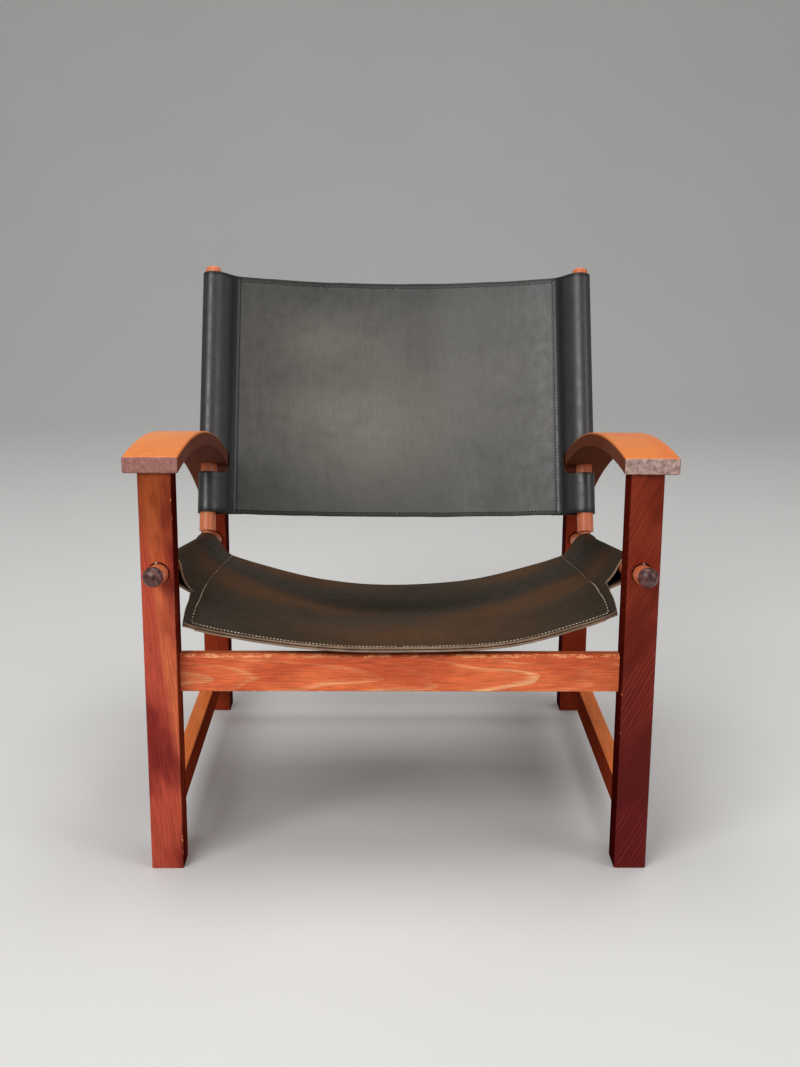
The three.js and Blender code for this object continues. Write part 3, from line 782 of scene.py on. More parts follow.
@dataclass(frozen=True)
class WoodFinish:
    """A dyed and lacquered wood."""

    name: str
    light: Colour
    rings: Colour
    blotch: Colour
    end: Colour
    worn: Colour = (0.60, 0.30, 0.19)
    ring_pitch: float = 0.0042
    ring_share: float = 0.6
    waver: float = 0.008
    blotch_share: float = 0.5
    wear_and_sheen: float = 0.3
    fibre_share: float = 0.16
    end_contrast: float = 0.4
    end_rough: float = 0.2
    rough: float = 0.4
    specular: float = 0.14
    coat: float = 0.0
    # The tint of painted shade, and of a darker dye on the arms' sides.
    stained: Colour = (0.22, 0.27, 1.1)
    far: Colour = (1.0, 1.0, 1.0)
    far_from: float = 0.0
    far_to: float = 1.0

    def material(self, effects: SharedEffects) -> bpy.types.Material:
        """Build the finish.

        Args:
            effects: The shared node groups.

        Returns:
            The material.
        """
        material, w, shader = new_material(self.name)
        place = w.attribute("grain", "Vector")
        figure_inputs = {"Place": place, "Ring Pitch": self.ring_pitch, "Waver": self.waver}
        figure = w.group(effects.wood_figure, figure_inputs).outputs
        drift = w.times(w.math("SUBTRACT", figure["Blotches"], 0.5), 1.2)
        length = w.add("ShaderNodeSeparateXYZ", {0: place}).outputs[0]
        far = w.plus(w.rise(length, self.far_from, self.far_to), drift, clamp=True)
        rings = w.times(figure["Rings"], w.rise(far, 0.0, 1.0, self.ring_share, 0.35 * self.ring_share))
        rings = w.times(rings, w.rise(figure["Blotches"], 0.38, 0.6, 1.0, 0.35))
        colour = w.mix(rings, self.light, self.rings)
        blotches = w.times(w.rise(figure["Blotches"], 0.45, 0.6), self.blotch_share)
        colour = w.mix(blotches, colour, self.blotch)
        colour = w.mix(far, colour, self.far, "MULTIPLY")
        faint, strong = 1 - self.fibre_share, 1 + self.fibre_share
        colour = w.scaled(colour, w.rise(figure["Fibres"], 0.3, 0.7, faint, strong))
        colour = w.scaled(colour, w.rise(figure["Pores"], 0.0, 1.0, 1.0, 0.7))
        # Painted shade laid on by a face attribute; on the arms' sides it also stands for a darker dye.
        stain = w.attribute("stain")
        colour = w.mix(stain, colour, self.stained, "MULTIPLY")
        end_share = w.attribute("end_grain")
        low_end, high_end = (
            tuple((1 + sign * self.end_contrast) * part for part in self.end) for sign in (-1, 1)
        )
        end_tone = w.mix(w.rise(w.noise(place, 170.0, 4.0, 0.6), 0.32, 0.68), low_end, high_end)
        colour = w.mix(end_share, colour, end_tone)
        # Specks of rubbing along the edges, which on the stretcher also paint the highlight of its rounded
        # top edge.
        wear_inputs = {"Place": place, "Edge": w.attribute("edge"), "Amount": self.wear_and_sheen}
        wear_and_sheen = w.group(effects.edge_wear_and_sheen, wear_inputs).outputs[0]
        colour = w.mix(wear_and_sheen, colour, self.worn)
        w.put(shader.inputs["Base Color"], colour)
        rough = w.rise(figure["Fibres"], 0.2, 0.8, self.rough - 0.05, self.rough + 0.08)
        rough = w.plus(rough, w.times(end_share, self.end_rough))
        rough = w.plus(rough, w.times(wear_and_sheen, 0.2), clamp=True)
        w.put(shader.inputs["Roughness"], rough)
        w.put(shader.inputs["Specular IOR Level"], w.rise(stain, 0.0, 1.0, self.specular, 0.0))
        w.put(shader.inputs["Coat Weight"], w.rise(stain, 0.0, 0.5, self.coat, 0.0))
        shader.inputs["Coat Roughness"].default_value = 0.25
        relief = w.plus(w.times(figure["Fibres"], 0.6), w.times(rings, 0.3))
        relief = w.math("SUBTRACT", relief, w.times(figure["Pores"], 0.8))
        w.bump(shader, 0.15, 0.0003, relief)
        return material


class Woods(Enum):
    """The frame's wood, piece by piece as its dye took."""

    LEFT_LEG = WoodFinish(
        "wood_left_leg", light=(0.455, 0.069, 0.037), rings=(0.66, 0.165, 0.057),
        blotch=(0.18, 0.012, 0.012), end=(0.16, 0.07, 0.05), worn=(0.80, 0.26, 0.12), fibre_share=0.22,
        ring_pitch=0.14, ring_share=0.95, waver=0.005, blotch_share=0.85, wear_and_sheen=0.5, specular=0.1,
        stained=(0.3, 0.2, 0.2), far=(0.68, 0.80, 0.42), far_to=0.12,
    )
    RIGHT_LEG = WoodFinish(
        "wood_right_leg", light=(0.115, 0.0075, 0.0082), rings=(0.23, 0.036, 0.026),
        blotch=(0.062, 0.0035, 0.0045), end=(0.10, 0.05, 0.04), worn=(0.42, 0.10, 0.07), ring_pitch=0.005,
        waver=0.013, blotch_share=0.7, wear_and_sheen=0.45, specular=0.1, stained=(0.4, 0.3, 0.3),
        far=(1.95, 3.7, 1.25), far_from=0.40, far_to=0.84,
    )
    REAR_LEG = WoodFinish(
        "wood_rear_leg", light=(0.235, 0.027, 0.0085), rings=(0.15, 0.015, 0.006),
        blotch=(0.31, 0.042, 0.012), end=(0.08, 0.035, 0.025), ring_pitch=0.005, specular=0.06,
    )
    ARM_LEFT = WoodFinish(
        "wood_arm_left", light=(0.74, 0.205, 0.033), rings=(0.62, 0.14, 0.023), blotch=(0.80, 0.26, 0.05),
        end=(0.33, 0.152, 0.13), ring_pitch=0.008, ring_share=0.45, waver=0.02, rough=0.32, coat=0.06,
        fibre_share=0.07, end_contrast=0.22,
    )
    ARM_RIGHT = WoodFinish(
        "wood_arm_right", light=(0.68, 0.165, 0.021), rings=(0.55, 0.11, 0.015),
        blotch=(0.73, 0.215, 0.035), end=(0.40, 0.265, 0.23), ring_pitch=0.0075, ring_share=0.45,
        waver=0.02, rough=0.32, coat=0.06, fibre_share=0.07,
    )
    # Its strong, pale edge rubbing also paints the highlight along the rounded top edge.
    STRETCHER = WoodFinish(
        "wood_stretcher", light=(0.77, 0.160, 0.051), rings=(1.0, 0.54, 0.25),
        blotch=(0.47, 0.055, 0.019), end=(0.2, 0.1, 0.07), worn=(0.96, 0.38, 0.16), ring_pitch=0.005,
        ring_share=0.95, waver=0.014, wear_and_sheen=0.9, fibre_share=0.22, blotch_share=0.62, specular=0.2,
        rough=0.35,
    )
    SIDE = WoodFinish(
        "wood_side_stretcher", light=(0.82, 0.19, 0.035), rings=(0.60, 0.11, 0.02),
        blotch=(0.92, 0.26, 0.055), end=(0.14, 0.07, 0.05), ring_pitch=0.006, stained=(0.28, 0.17, 0.35),
    )
    # Its shade tint paints the dark inside the legs' holes.
    ROD = WoodFinish(
        "wood_rod", light=(0.63, 0.16, 0.060), rings=(0.47, 0.095, 0.038), blotch=(0.70, 0.215, 0.09),
        end=(0.092, 0.032, 0.028), stained=(0.07, 0.06, 0.08), ring_pitch=0.005, ring_share=0.4,
        end_contrast=0.75, end_rough=-0.02, rough=0.36, specular=0.4,
    )
    DOWEL = WoodFinish(
        "wood_dowel", light=(0.6, 0.4, 0.2), rings=(0.45, 0.27, 0.12), blotch=(0.64, 0.44, 0.24),
        end=(0.4, 0.26, 0.14), wear_and_sheen=0.0, rough=0.6,
    )


class WoodShop:
    """Builds each wood's material once and dresses the wooden pieces."""

    def __init__(self, effects: SharedEffects) -> None:
        """Start with no material built."""
        self.effects = effects
        self.ready: dict[Woods, bpy.types.Material] = {}

    def material(self, wood: Woods) -> bpy.types.Material:
        """Give the material of a wood, built the first time.

        Args:
            wood: The wood.

        Returns:
            Its material.
        """
        if wood not in self.ready:
            self.ready[wood] = wood.value.material(self.effects)
        return self.ready[wood]

    def finish(
        self, bm: BMesh, node: str, slot: Slot, wood: Woods, grain: Callable[[Vector], Vector],
        is_end: Callable[[BMFace], bool], edge: Callable[[Vector], float],
        stain: Callable[[BMFace], float] = lambda face: 0.0,
    ) -> bpy.types.Object:
        """Make the finished piece that stands for a node of the frame.

        Args:
            bm: The shape, in place.
            node: The node that it replaces.
            slot: The record's slot, which is not used.
            wood: The wood it is made of.
            grain: Takes a point to its place in the board: along, across and through it.
            is_end: Whether a face shows end grain.
            edge: How much a point lies on a rounded edge, from 0 to 1.
            stain: How much painted shade lies on a face, with a darker dye on the arms' sides, from 0 to
                1.

        Returns:
            The piece.
        """
        shade(bm)
        piece = new_object(f"{node}_timber", bm, [self.material(wood)])
        mesh = piece.data
        set_values(mesh, "grain", "FLOAT_VECTOR", "POINT", [grain(vert.co) for vert in mesh.vertices])
        set_values(mesh, "edge", "FLOAT", "POINT", [edge(vert.co) for vert in mesh.vertices])
        reading = bmesh.new()
        reading.from_mesh(mesh)
        set_values(mesh, "end_grain", "FLOAT", "FACE", [float(is_end(face)) for face in reading.faces])
        set_values(mesh, "stain", "FLOAT", "FACE", [stain(face) for face in reading.faces])
        reading.free()
        weighted = piece.modifiers.new("even_shading", "WEIGHTED_NORMAL")
        weighted.keep_sharp = True
        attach(piece, "root")
        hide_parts(node)
        return piece


def on_corner(a: float, half_a: float, b: float, half_b: float) -> float:
    """Tell whether a point of a bar's section lies on a rounded corner.

    Args:
        a: The point's place across the section.
        half_a: Half the section's size that way.
        b: The point's place the other way.
        half_b: Half the section's size that way.

    Returns:
        1 inside a rounded corner, otherwise 0.
    """
    reach = 0.0001
    outer = 0.006
    inset_a, inset_b = half_a - abs(a), half_b - abs(b)
    return float(reach < inset_a < outer and reach < inset_b < outer)


# The wooden frame


@dataclass(frozen=True)
class Joinery:
    """The tenons of the stretchers, the dowels under the arms, and the holes for the rails."""

    depth: float = 0.024
    thick: float = 0.012
    shoulder: float = 0.006
    dowel_radius: float = 0.006
    dowel_leg_share: float = 0.34
    dowel_in_arm: float = 0.013
    dowel_spare: float = 0.002
    rail_play: float = 0.001

    def half_height(self, board_height: float) -> float:
        """Half the height of a board's tenon."""
        return board_height / 2 - self.shoulder

    def dowel_hole(self, side: Side, end: End) -> BMesh:
        """Make the solid of a dowel's hole through the joint of an arm and a leg.

        Args:
            side: The side of the chair.
            end: The end of the chair.

        Returns:
            The closed cylinder to cut with.
        """
        back = LEGS.back(end)
        under_arm = BOW.height_at(back, BOW.thick)
        hole_top = RAILS.height_at(back) + RAILS.radius + 2 * self.rail_play
        low = under_arm - self.dowel_leg_share * (under_arm - hole_top) - self.dowel_spare
        high = under_arm + self.dowel_in_arm + self.dowel_spare
        x, y = side.value * LEGS.x, FRONT_Y + back
        return rod(Vector((x, y, low)), Vector((x, y, high)), self.dowel_radius + GAP, DOWEL_SIDES)

    def rail_hole(self, side: Side, end: End) -> BMesh:
        """Make the solid of the hole in a leg that a seat rail passes through.

        Args:
            side: The side of the chair.
            end: The end of the chair.

        Returns:
            The closed cylinder to cut with.
        """
        middle = (LEGS.back(end) - RAILS.start_back) / RAILS.along.y
        reach = LEGS.side / 2 / RAILS.along.y + OVERRUN
        lift = Vector((0, 0, self.rail_play - GAP))
        x = side.value * RAILS.half_span
        ends = [RAILS.at(x, middle + share * reach) + lift for share in (-1, 1)]
        return rod(*ends, RAILS.radius + self.rail_play, HOLE_SIDES)


JOINERY = Joinery()


@dataclass
class Stretcher:
    """A board across the chair between two legs, with a tenon at each end."""

    end: End
    height: float = 0.050
    thick: float = 0.020
    drop: float = 0.1075
    top_edge: float = 0.006
    low_edge: float = 0.0025
    pith_tilt: float = -0.05

    @property
    def back(self) -> float:
        """How far its middle lies behind the legs' front faces."""
        inside = LEGS.side - self.thick / 2 if self.end is End.FRONT else self.thick / 2
        return inside + (0.0 if self.end is End.FRONT else LEGS.pitch)

    @property
    def middle_height(self) -> float:
        """The height of its middle."""
        return RAILS.height_at(LEGS.back(self.end)) - self.drop - self.height / 2

    def mortise(self, side: Side) -> BMesh:
        """Make the solid of the mortise in a leg.

        Args:
            side: The side of the chair.

        Returns:
            The closed box to cut with.
        """
        face = LEGS.span / 2 - LEGS.side
        xs = sorted(side.value * x for x in (face - OVERRUN, face + JOINERY.depth + GAP))
        half_thick = JOINERY.thick / 2 + GAP
        half_height = JOINERY.half_height(self.height) + GAP
        y = FRONT_Y + self.back
        low = (xs[0], y - half_thick, self.middle_height - half_height)
        return box(low, (xs[1], y + half_thick, self.middle_height + half_height))

    def build(self, shop: WoodShop) -> bpy.types.Object:
        """Model and dress the board.

        Args:
            shop: What makes the wood.

        Returns:
            The finished board.
        """
        reach = LEGS.span / 2 - LEGS.side - GAP
        y, z = FRONT_Y + self.back, self.middle_height
        half_thick, half_height = self.thick / 2, self.height / 2
        bm = box((-reach, y - half_thick, z - half_height), (reach, y + half_thick, z + half_height))
        soften(bm, [e for e in edges_along(bm, 0) if e.verts[0].co.z > z], self.top_edge, 5)
        low = z - half_height + GAP
        soften(bm, [e for e in edges_along(bm, 0) if e.verts[0].co.z < low], self.low_edge)
        grow_tenons(bm, 0, self.height)
        offset = Vector((0.31, 0.004, -0.043)) if self.end is End.FRONT else Vector((1.7, 0.012, -0.03))

        def grain(point: Vector) -> Vector:
            """The place in the board, whose pith runs at a slant behind it."""
            return Vector((point.x, point.z - z, point.y - y + self.pith_tilt * point.x)) + offset

        return shop.finish(
            bm, f"{self.end.value}_stretcher", Slot.STRETCHER, Woods.STRETCHER, grain,
            lambda face: abs(face.normal.x) > END_ON,
            lambda point: on_corner(point.y - y, half_thick, point.z - z, half_height),
        )


@dataclass
class SideStretcher:
    """A low board from front leg to rear leg, with a tenon at each end."""

    side: Side
    height: float = 0.040
    thick: float = 0.0215
    clear: float = 0.050
    edge: float = 0.002

    def mortise(self, end: End) -> BMesh:
        """Make the solid of the mortise in a leg.

        Args:
            end: The end of the chair.

        Returns:
            The closed box to cut with.
        """
        face = LEGS.side if end is End.FRONT else LEGS.pitch
        inwards = 1 if end is End.FRONT else -1
        ys = sorted(FRONT_Y + face + inwards * reach for reach in (OVERRUN, -JOINERY.depth - GAP))
        half_thick = JOINERY.thick / 2 + GAP
        half_height = JOINERY.half_height(self.height) + GAP
        x, z = self.side.value * LEGS.x, self.clear + self.height / 2
        return box((x - half_thick, ys[0], z - half_height), (x + half_thick, ys[1], z + half_height))

    def build(self, shop: WoodShop) -> bpy.types.Object:
        """Model and dress the board.

        Args:
            shop: What makes the wood.

        Returns:
            The finished board.
        """
        x, z = self.side.value * LEGS.x, self.clear + self.height / 2
        low_y, high_y = FRONT_Y + LEGS.side + GAP, FRONT_Y + LEGS.pitch - GAP
        half = self.thick / 2
        bm = box((x - half, low_y, self.clear), (x + half, high_y, self.clear + self.height))
        soften(bm, edges_along(bm, 1), self.edge)
        grow_tenons(bm, 1, self.height)
        offset = Vector((0.9 * self.side.value, 0.006, 0.05))
        return shop.finish(
            bm, f"side_stretcher_{self.side.label}", Slot.STRETCHER, Woods.SIDE,
            lambda point: Vector((point.y, point.z - z, point.x - x)) + offset,
            lambda face: abs(face.normal.y) > END_ON,
            lambda point: on_corner(point.x - x, half, point.z - z, self.height / 2),
            # Painted shade on the sides and underside, growing as a face turns from the top.
            lambda face: 1 - smooth(0.2, 0.8, face.normal.z),
        )


def grow_tenons(bm: BMesh, axis: int, height: float) -> None:
    """Grow a tenon from both ends of a board.

    Args:
        bm: The board.
        axis: The axis that it runs along.
        height: The board's height.
    """
    other = 1 - axis
    half_thick, half_height = JOINERY.thick / 2, JOINERY.half_height(height)
    for sign in (-1, 1):
        along = Vector((0, 0, 0))
        along[axis] = sign
        cap = max(bm.faces, key=lambda face: (face.normal.dot(along) > FACING) * face.calc_area())
        middle = cap.calc_center_bounds()
        shoulder = bmesh.ops.extrude_discrete_faces(bm, faces=[cap])["faces"][0]
        for vert in shoulder.verts:
            offset = vert.co - middle
            vert.co[other] = middle[other] + max(-half_thick, min(half_thick, offset[other]))
            vert.co.z = middle.z + max(-half_height, min(half_height, offset.z))
        tenon = bmesh.ops.extrude_discrete_faces(bm, faces=[shoulder])["faces"][0]
        bmesh.ops.translate(bm, vec=along * JOINERY.depth, verts=tenon.verts)
    bmesh.ops.remove_doubles(bm, verts=bm.verts, dist=WELD)
    bmesh.ops.recalc_face_normals(bm, faces=bm.faces)


@dataclass
class Leg:
    """A square leg with the hole that a seat rail passes through."""

    side: Side
    end: End
    edge: float = 0.0025
    rim_edge: float = 0.0008
    foot_edge: float = 0.001
    pith_left: float = 0.163
    pith_right: float = 0.03
    pith_behind: float = 0.025
    pith_tilt: float = 0.03

    LEANS = {Side.LEFT: math.radians(-5), Side.RIGHT: math.radians(27)}  # of the pith, across the leg

    @property
    def wood(self) -> Woods:
        """The wood of this leg."""
        front = Woods.LEFT_LEG if self.side is Side.LEFT else Woods.RIGHT_LEG
        return front if self.end is End.FRONT else Woods.REAR_LEG

    def build(self, shop: WoodShop) -> bpy.types.Object:
        """Model and dress the leg.

        Args:
            shop: What makes the wood.

        Returns:
            The finished leg.
        """
        half = LEGS.side / 2
        x, back = self.side.value * LEGS.x, LEGS.back(self.end)
        y = FRONT_Y + back
        heights = [BOW.height_at(back + reach, BOW.thick + GAP) for reach in (-half, half)]
        bm = box((x - half, y - half, 0), (x + half, y + half, max(heights) + OVERRUN))
        slope = Vector((0, LEGS.side, heights[1] - heights[0])).normalized()
        bmesh.ops.bisect_plane(
            bm, geom=[*bm.verts, *bm.edges, *bm.faces], plane_co=(x, y - half, heights[0]),
            plane_no=Vector((1, 0, 0)).cross(slope), clear_outer=True,
        )
        bmesh.ops.holes_fill(bm, edges=[e for e in bm.edges if e.is_boundary])
        soften(bm, edges_along(bm, 2), self.edge, 4)
        foot = [e for e in crisp_edges(bm, CORNER_ANGLE) if max(v.co.z for v in e.verts) < GAP]
        soften(bm, foot, self.foot_edge, 2)
        bm = cut_away(bm, [
            JOINERY.rail_hole(self.side, self.end),
            JOINERY.dowel_hole(self.side, self.end),
            Stretcher(self.end).mortise(self.side),
            SideStretcher(self.side).mortise(self.end),
        ])
        rims = [e for e in crisp_edges(bm, CORNER_ANGLE) if self._on_rim(e, x, y)]
        soften(bm, rims, self.rim_edge, 2)
        seed = 0.37 * self.side.value + (0.0 if self.end is End.FRONT else 1.3)
        lean = self.LEANS[self.side]

        def grain(point: Vector) -> Vector:
            """Find a point's place in the leg, whose pith leans across it.

            Args:
                point: A point of the leg.

            Returns:
                Its place along, across and through the timber.
            """
            across = (point.x - x) * math.cos(lean) - point.z * math.sin(lean)
            along = point.z * math.cos(lean) + (point.x - x) * math.sin(lean)
            beside = across + self.pith_right if self.side is Side.RIGHT else self.pith_left - across
            behind = point.y - y + self.pith_behind + self.pith_tilt * point.z
            return Vector((along + seed, beside, behind))

        def stain(face: BMFace) -> float:
            """Paint shade on the side that faces the other leg, and inside the rail's hole.

            Args:
                face: A face of the leg.

            Returns:
                How much painted shade lies on it.
            """
            offset = face.calc_center_median() - RAILS.at(self.side.value * RAILS.half_span, 0)
            off_rail = (offset - offset.dot(RAILS.along) * RAILS.along).length
            if off_rail < RAILS.radius + 0.003 and abs(face.normal.y) < 0.6:
                return 1.0
            return smooth(0.4, 0.9, -self.side.value * face.normal.x)

        return shop.finish(
            bm, f"{self.end.value}_leg_{self.side.label}", Slot.LEG, self.wood, grain,
            lambda face: abs(face.normal.z) > END_ON,
            lambda point: on_corner(point.x - x, half, point.y - y, half),
            stain,
        )

    def _on_rim(self, edge: BMEdge, x: float, y: float) -> bool:
        """Tell whether an edge is part of the rail hole's rim on the leg's front or rear face.

        Args:
            edge: The edge.
            x: The leg's middle across the chair.
            y: The leg's middle from front to back.

        Returns:
            Whether both its ends are.
        """
        half = LEGS.side / 2
        wide, high = RAILS.radius + 0.006, RAILS.radius + 0.010
        near = RAILS.height_at(LEGS.back(self.end))
        return all(
            abs(abs(vert.co.y - y) - half) < GAP and abs(vert.co.x - x) < wide
            and abs(vert.co.z - near) < high
            for vert in edge.verts
        )


@dataclass
class Arm:
    """A board bowed in side view, with a slanting hole for the back post."""

    side: Side
    front_reach: float = 0.006
    rear_back: float = 0.6895
    edge: float = 0.003
    steps: int = 60
    pith_beside: float = 0.008
    pith_below: float = 0.035
    pith_tilt: float = 0.045

    POST_HOLE = (0.02, 0.3)  # from and to where the post's hole is cut, along the post

    def build(self, shop: WoodShop) -> bpy.types.Object:
        """Model and dress the arm.

        Args:
            shop: What makes the wood.

        Returns:
            The finished arm.
        """
        half = BOW.width / 2
        x = self.side.value * BOW.x
        length = self.front_reach + self.rear_back
        bm = box((x - half, -self.front_reach, 0), (x + half, self.rear_back, 1))
        bmesh.ops.subdivide_edges(bm, edges=edges_along(bm, 1), cuts=self.steps, use_grid_fill=True)
        for vert in bm.verts:
            back, below = vert.co.y, 0.0 if vert.co.z > 0.5 else BOW.thick
            vert.co = Vector((vert.co.x, FRONT_Y + back, BOW.height_at(back, below)))
        soften(bm, crisp_edges(bm, CORNER_ANGLE), self.edge, 4)
        ends = [POSTS.at(self.side.value * POSTS.half_span, s) for s in self.POST_HOLE]
        bm = cut_away(bm, [
            rod(*ends, POSTS.radius + GAP, HOLE_SIDES),
            JOINERY.dowel_hole(self.side, End.FRONT),
            JOINERY.dowel_hole(self.side, End.REAR),
        ])
        middle = (self.rear_back - self.front_reach) / 2

        def grain(point: Vector) -> Vector:
            """Find a point's place in the board before it was bowed, with its pith under it.

            Args:
                point: A point of the arm.

            Returns:
                Its place along, across and through the timber.
            """
            back = point.y - FRONT_Y
            below = BOW.height_at(back) - point.z + self.pith_below + self.pith_tilt * (back - middle)
            return Vector((back + 2.1 * self.side.value, point.x - x + self.pith_beside, below))

        def edge(point: Vector) -> float:
            """Tell whether a point lies on a rounded edge along the arm or round its ends.

            Args:
                point: A point of the arm.

            Returns:
                1 on such an edge, otherwise 0.
            """
            back = point.y - FRONT_Y
            below = BOW.height_at(back) - point.z - BOW.thick / 2
            end_inset = length / 2 - abs(back - middle)
            along = on_corner(point.x - x, half, below, BOW.thick / 2)
            return max(along, float(GAP / 3 < end_inset < self.edge - GAP / 3))

        def stain(face: BMFace) -> float:
            """Paint shade on a face as it turns away from the arm's top; on the sides it also stands for a
            darker dye.

            Args:
                face: A face of the arm.

            Returns:
                How much painted shade lies on it, with a darker dye on the sides.
            """
            tilt = (face.calc_center_median().y - FRONT_Y - BOW.peak_back) / BOW.radius
            top = Vector((0, tilt, math.sqrt(1 - tilt**2)))
            return 1 - smooth(0.1, 0.9, face.normal.dot(top))

        wood = Woods.ARM_LEFT if self.side is Side.LEFT else Woods.ARM_RIGHT
        return shop.finish(
            bm, f"arm_{self.side.label}", Slot.ARM, wood, grain,
            lambda face: abs(face.normal.y) > 0.8, edge, stain,
        )


@dataclass
class SeatRail:
    """A round rail through both legs of one side, domed at both ends."""

    side: Side
    rear_reach: float = 0.024
    dome: float = 0.010
    socket_radius: float = 0.007
    socket_depth: float = 0.006
    past_hole: float = 0.001

    @property
    def front_reach(self) -> float:
        """How far the dome's tip stands past the front leg."""
        return 0.050 if self.side is Side.LEFT else 0.045

    def build(self, shop: WoodShop) -> bpy.types.Object:
        """Model and dress the rail.

        Args:
            shop: What makes the wood.

        Returns:
            The finished rail.
        """
        low = -(RAILS.start_back + self.front_reach) / RAILS.along.y
        high = (LEGS.pitch + LEGS.side + self.rear_reach - RAILS.start_back) / RAILS.along.y
        near = dome_outline(RAILS.radius, self.dome, low + self.dome, -1)[::-1]
        far = dome_outline(RAILS.radius, self.dome, high - self.dome, 1)
        half = LEGS.side / 2 / RAILS.along.y + self.past_hole
        in_holes = [0.0, LEGS.pitch / RAILS.along.y]
        between = [(RAILS.radius, middle + sign * half) for middle in in_holes for sign in (-1, 1)]
        bm = turned_shape(near + between + far)
        bmesh.ops.transform(bm, matrix=RAILS.placement(self.side), verts=bm.verts)
        socket = (-self.socket_depth - GAP, RAILS.radius * 2)
        ends = [POSTS.at(self.side.value * POSTS.half_span, s) for s in socket]
        bm = cut_away(bm, [rod(*ends, self.socket_radius + GAP)])
        start = RAILS.at(self.side.value * RAILS.half_span, 0)

        def along(point: Vector) -> float:
            """How far along the rail a point lies."""
            return (point - start).dot(RAILS.along)

        def grain(point: Vector) -> Vector:
            """Find a point's place in the rail, whose pith runs beside it.

            Args:
                point: A point of the rail.

            Returns:
                Its place along, across and through the timber.
            """
            offset = point - start
            above = offset.dot(RAILS.normal) + 0.015
            return Vector((along(point) + 3.3 * self.side.value, offset.x + 0.02, above))

        def is_end(face: BMFace) -> bool:
            """Whether a face belongs to a domed end."""
            place = along(face.calc_center_median())
            return place < low + self.dome or place > high - self.dome

        def stain(face: BMFace) -> float:
            """Paint shade on what lies inside the legs' holes."""
            place = along(face.calc_center_median())
            return float(min(abs(place - middle) for middle in in_holes) < half)

        def on_rim(point: Vector) -> float:
            """Whether a point lies where a dome starts."""
            place = along(point)
            return float(min(abs(place - low - self.dome), abs(place - high + self.dome)) < GAP)

        return shop.finish(
            bm, f"seat_rail_{self.side.label}", Slot.ROD, Woods.ROD, grain, is_end, on_rim,
            stain,
        )


@dataclass
class BackPost:
    """A round post, domed on top, whose tenon enters the seat rail."""

    side: Side
    length: float = 0.456
    shoulder: float = 0.021
    dome: float = 0.006
    tenon_radius: float = 0.007
    tenon_depth: float = 0.006

    def build(self, shop: WoodShop) -> bpy.types.Object:
        """Model and dress the post.

        Args:
            shop: What makes the wood.

        Returns:
            The finished post.
        """
        rim = self.length - self.dome
        foot = [
            (0.0, -self.tenon_depth), (self.tenon_radius, -self.tenon_depth),
            (self.tenon_radius, self.shoulder), (POSTS.radius, self.shoulder),
        ]
        bm = turned_shape(foot + dome_outline(POSTS.radius, self.dome, rim, 1))
        bmesh.ops.transform(bm, matrix=POSTS.placement(self.side), verts=bm.verts)
        start = POSTS.at(self.side.value * POSTS.half_span, 0)

        def grain(point: Vector) -> Vector:
            """Find a point's place in the post, whose pith runs beside it.

            Args:
                point: A point of the post.

            Returns:
                Its place along, across and through the timber.
            """
            offset = point - start
            along = offset.dot(POSTS.along) + 5.1 * self.side.value
            return Vector((along, offset.x + 0.018, offset.dot(POSTS.normal) + 0.02))

        return shop.finish(
            bm, f"back_post_{self.side.label}", Slot.ROD, Woods.ROD, grain,
            lambda face: False,
            lambda point: float(abs((point - start).dot(POSTS.along) - rim) < GAP),
        )


# Leather


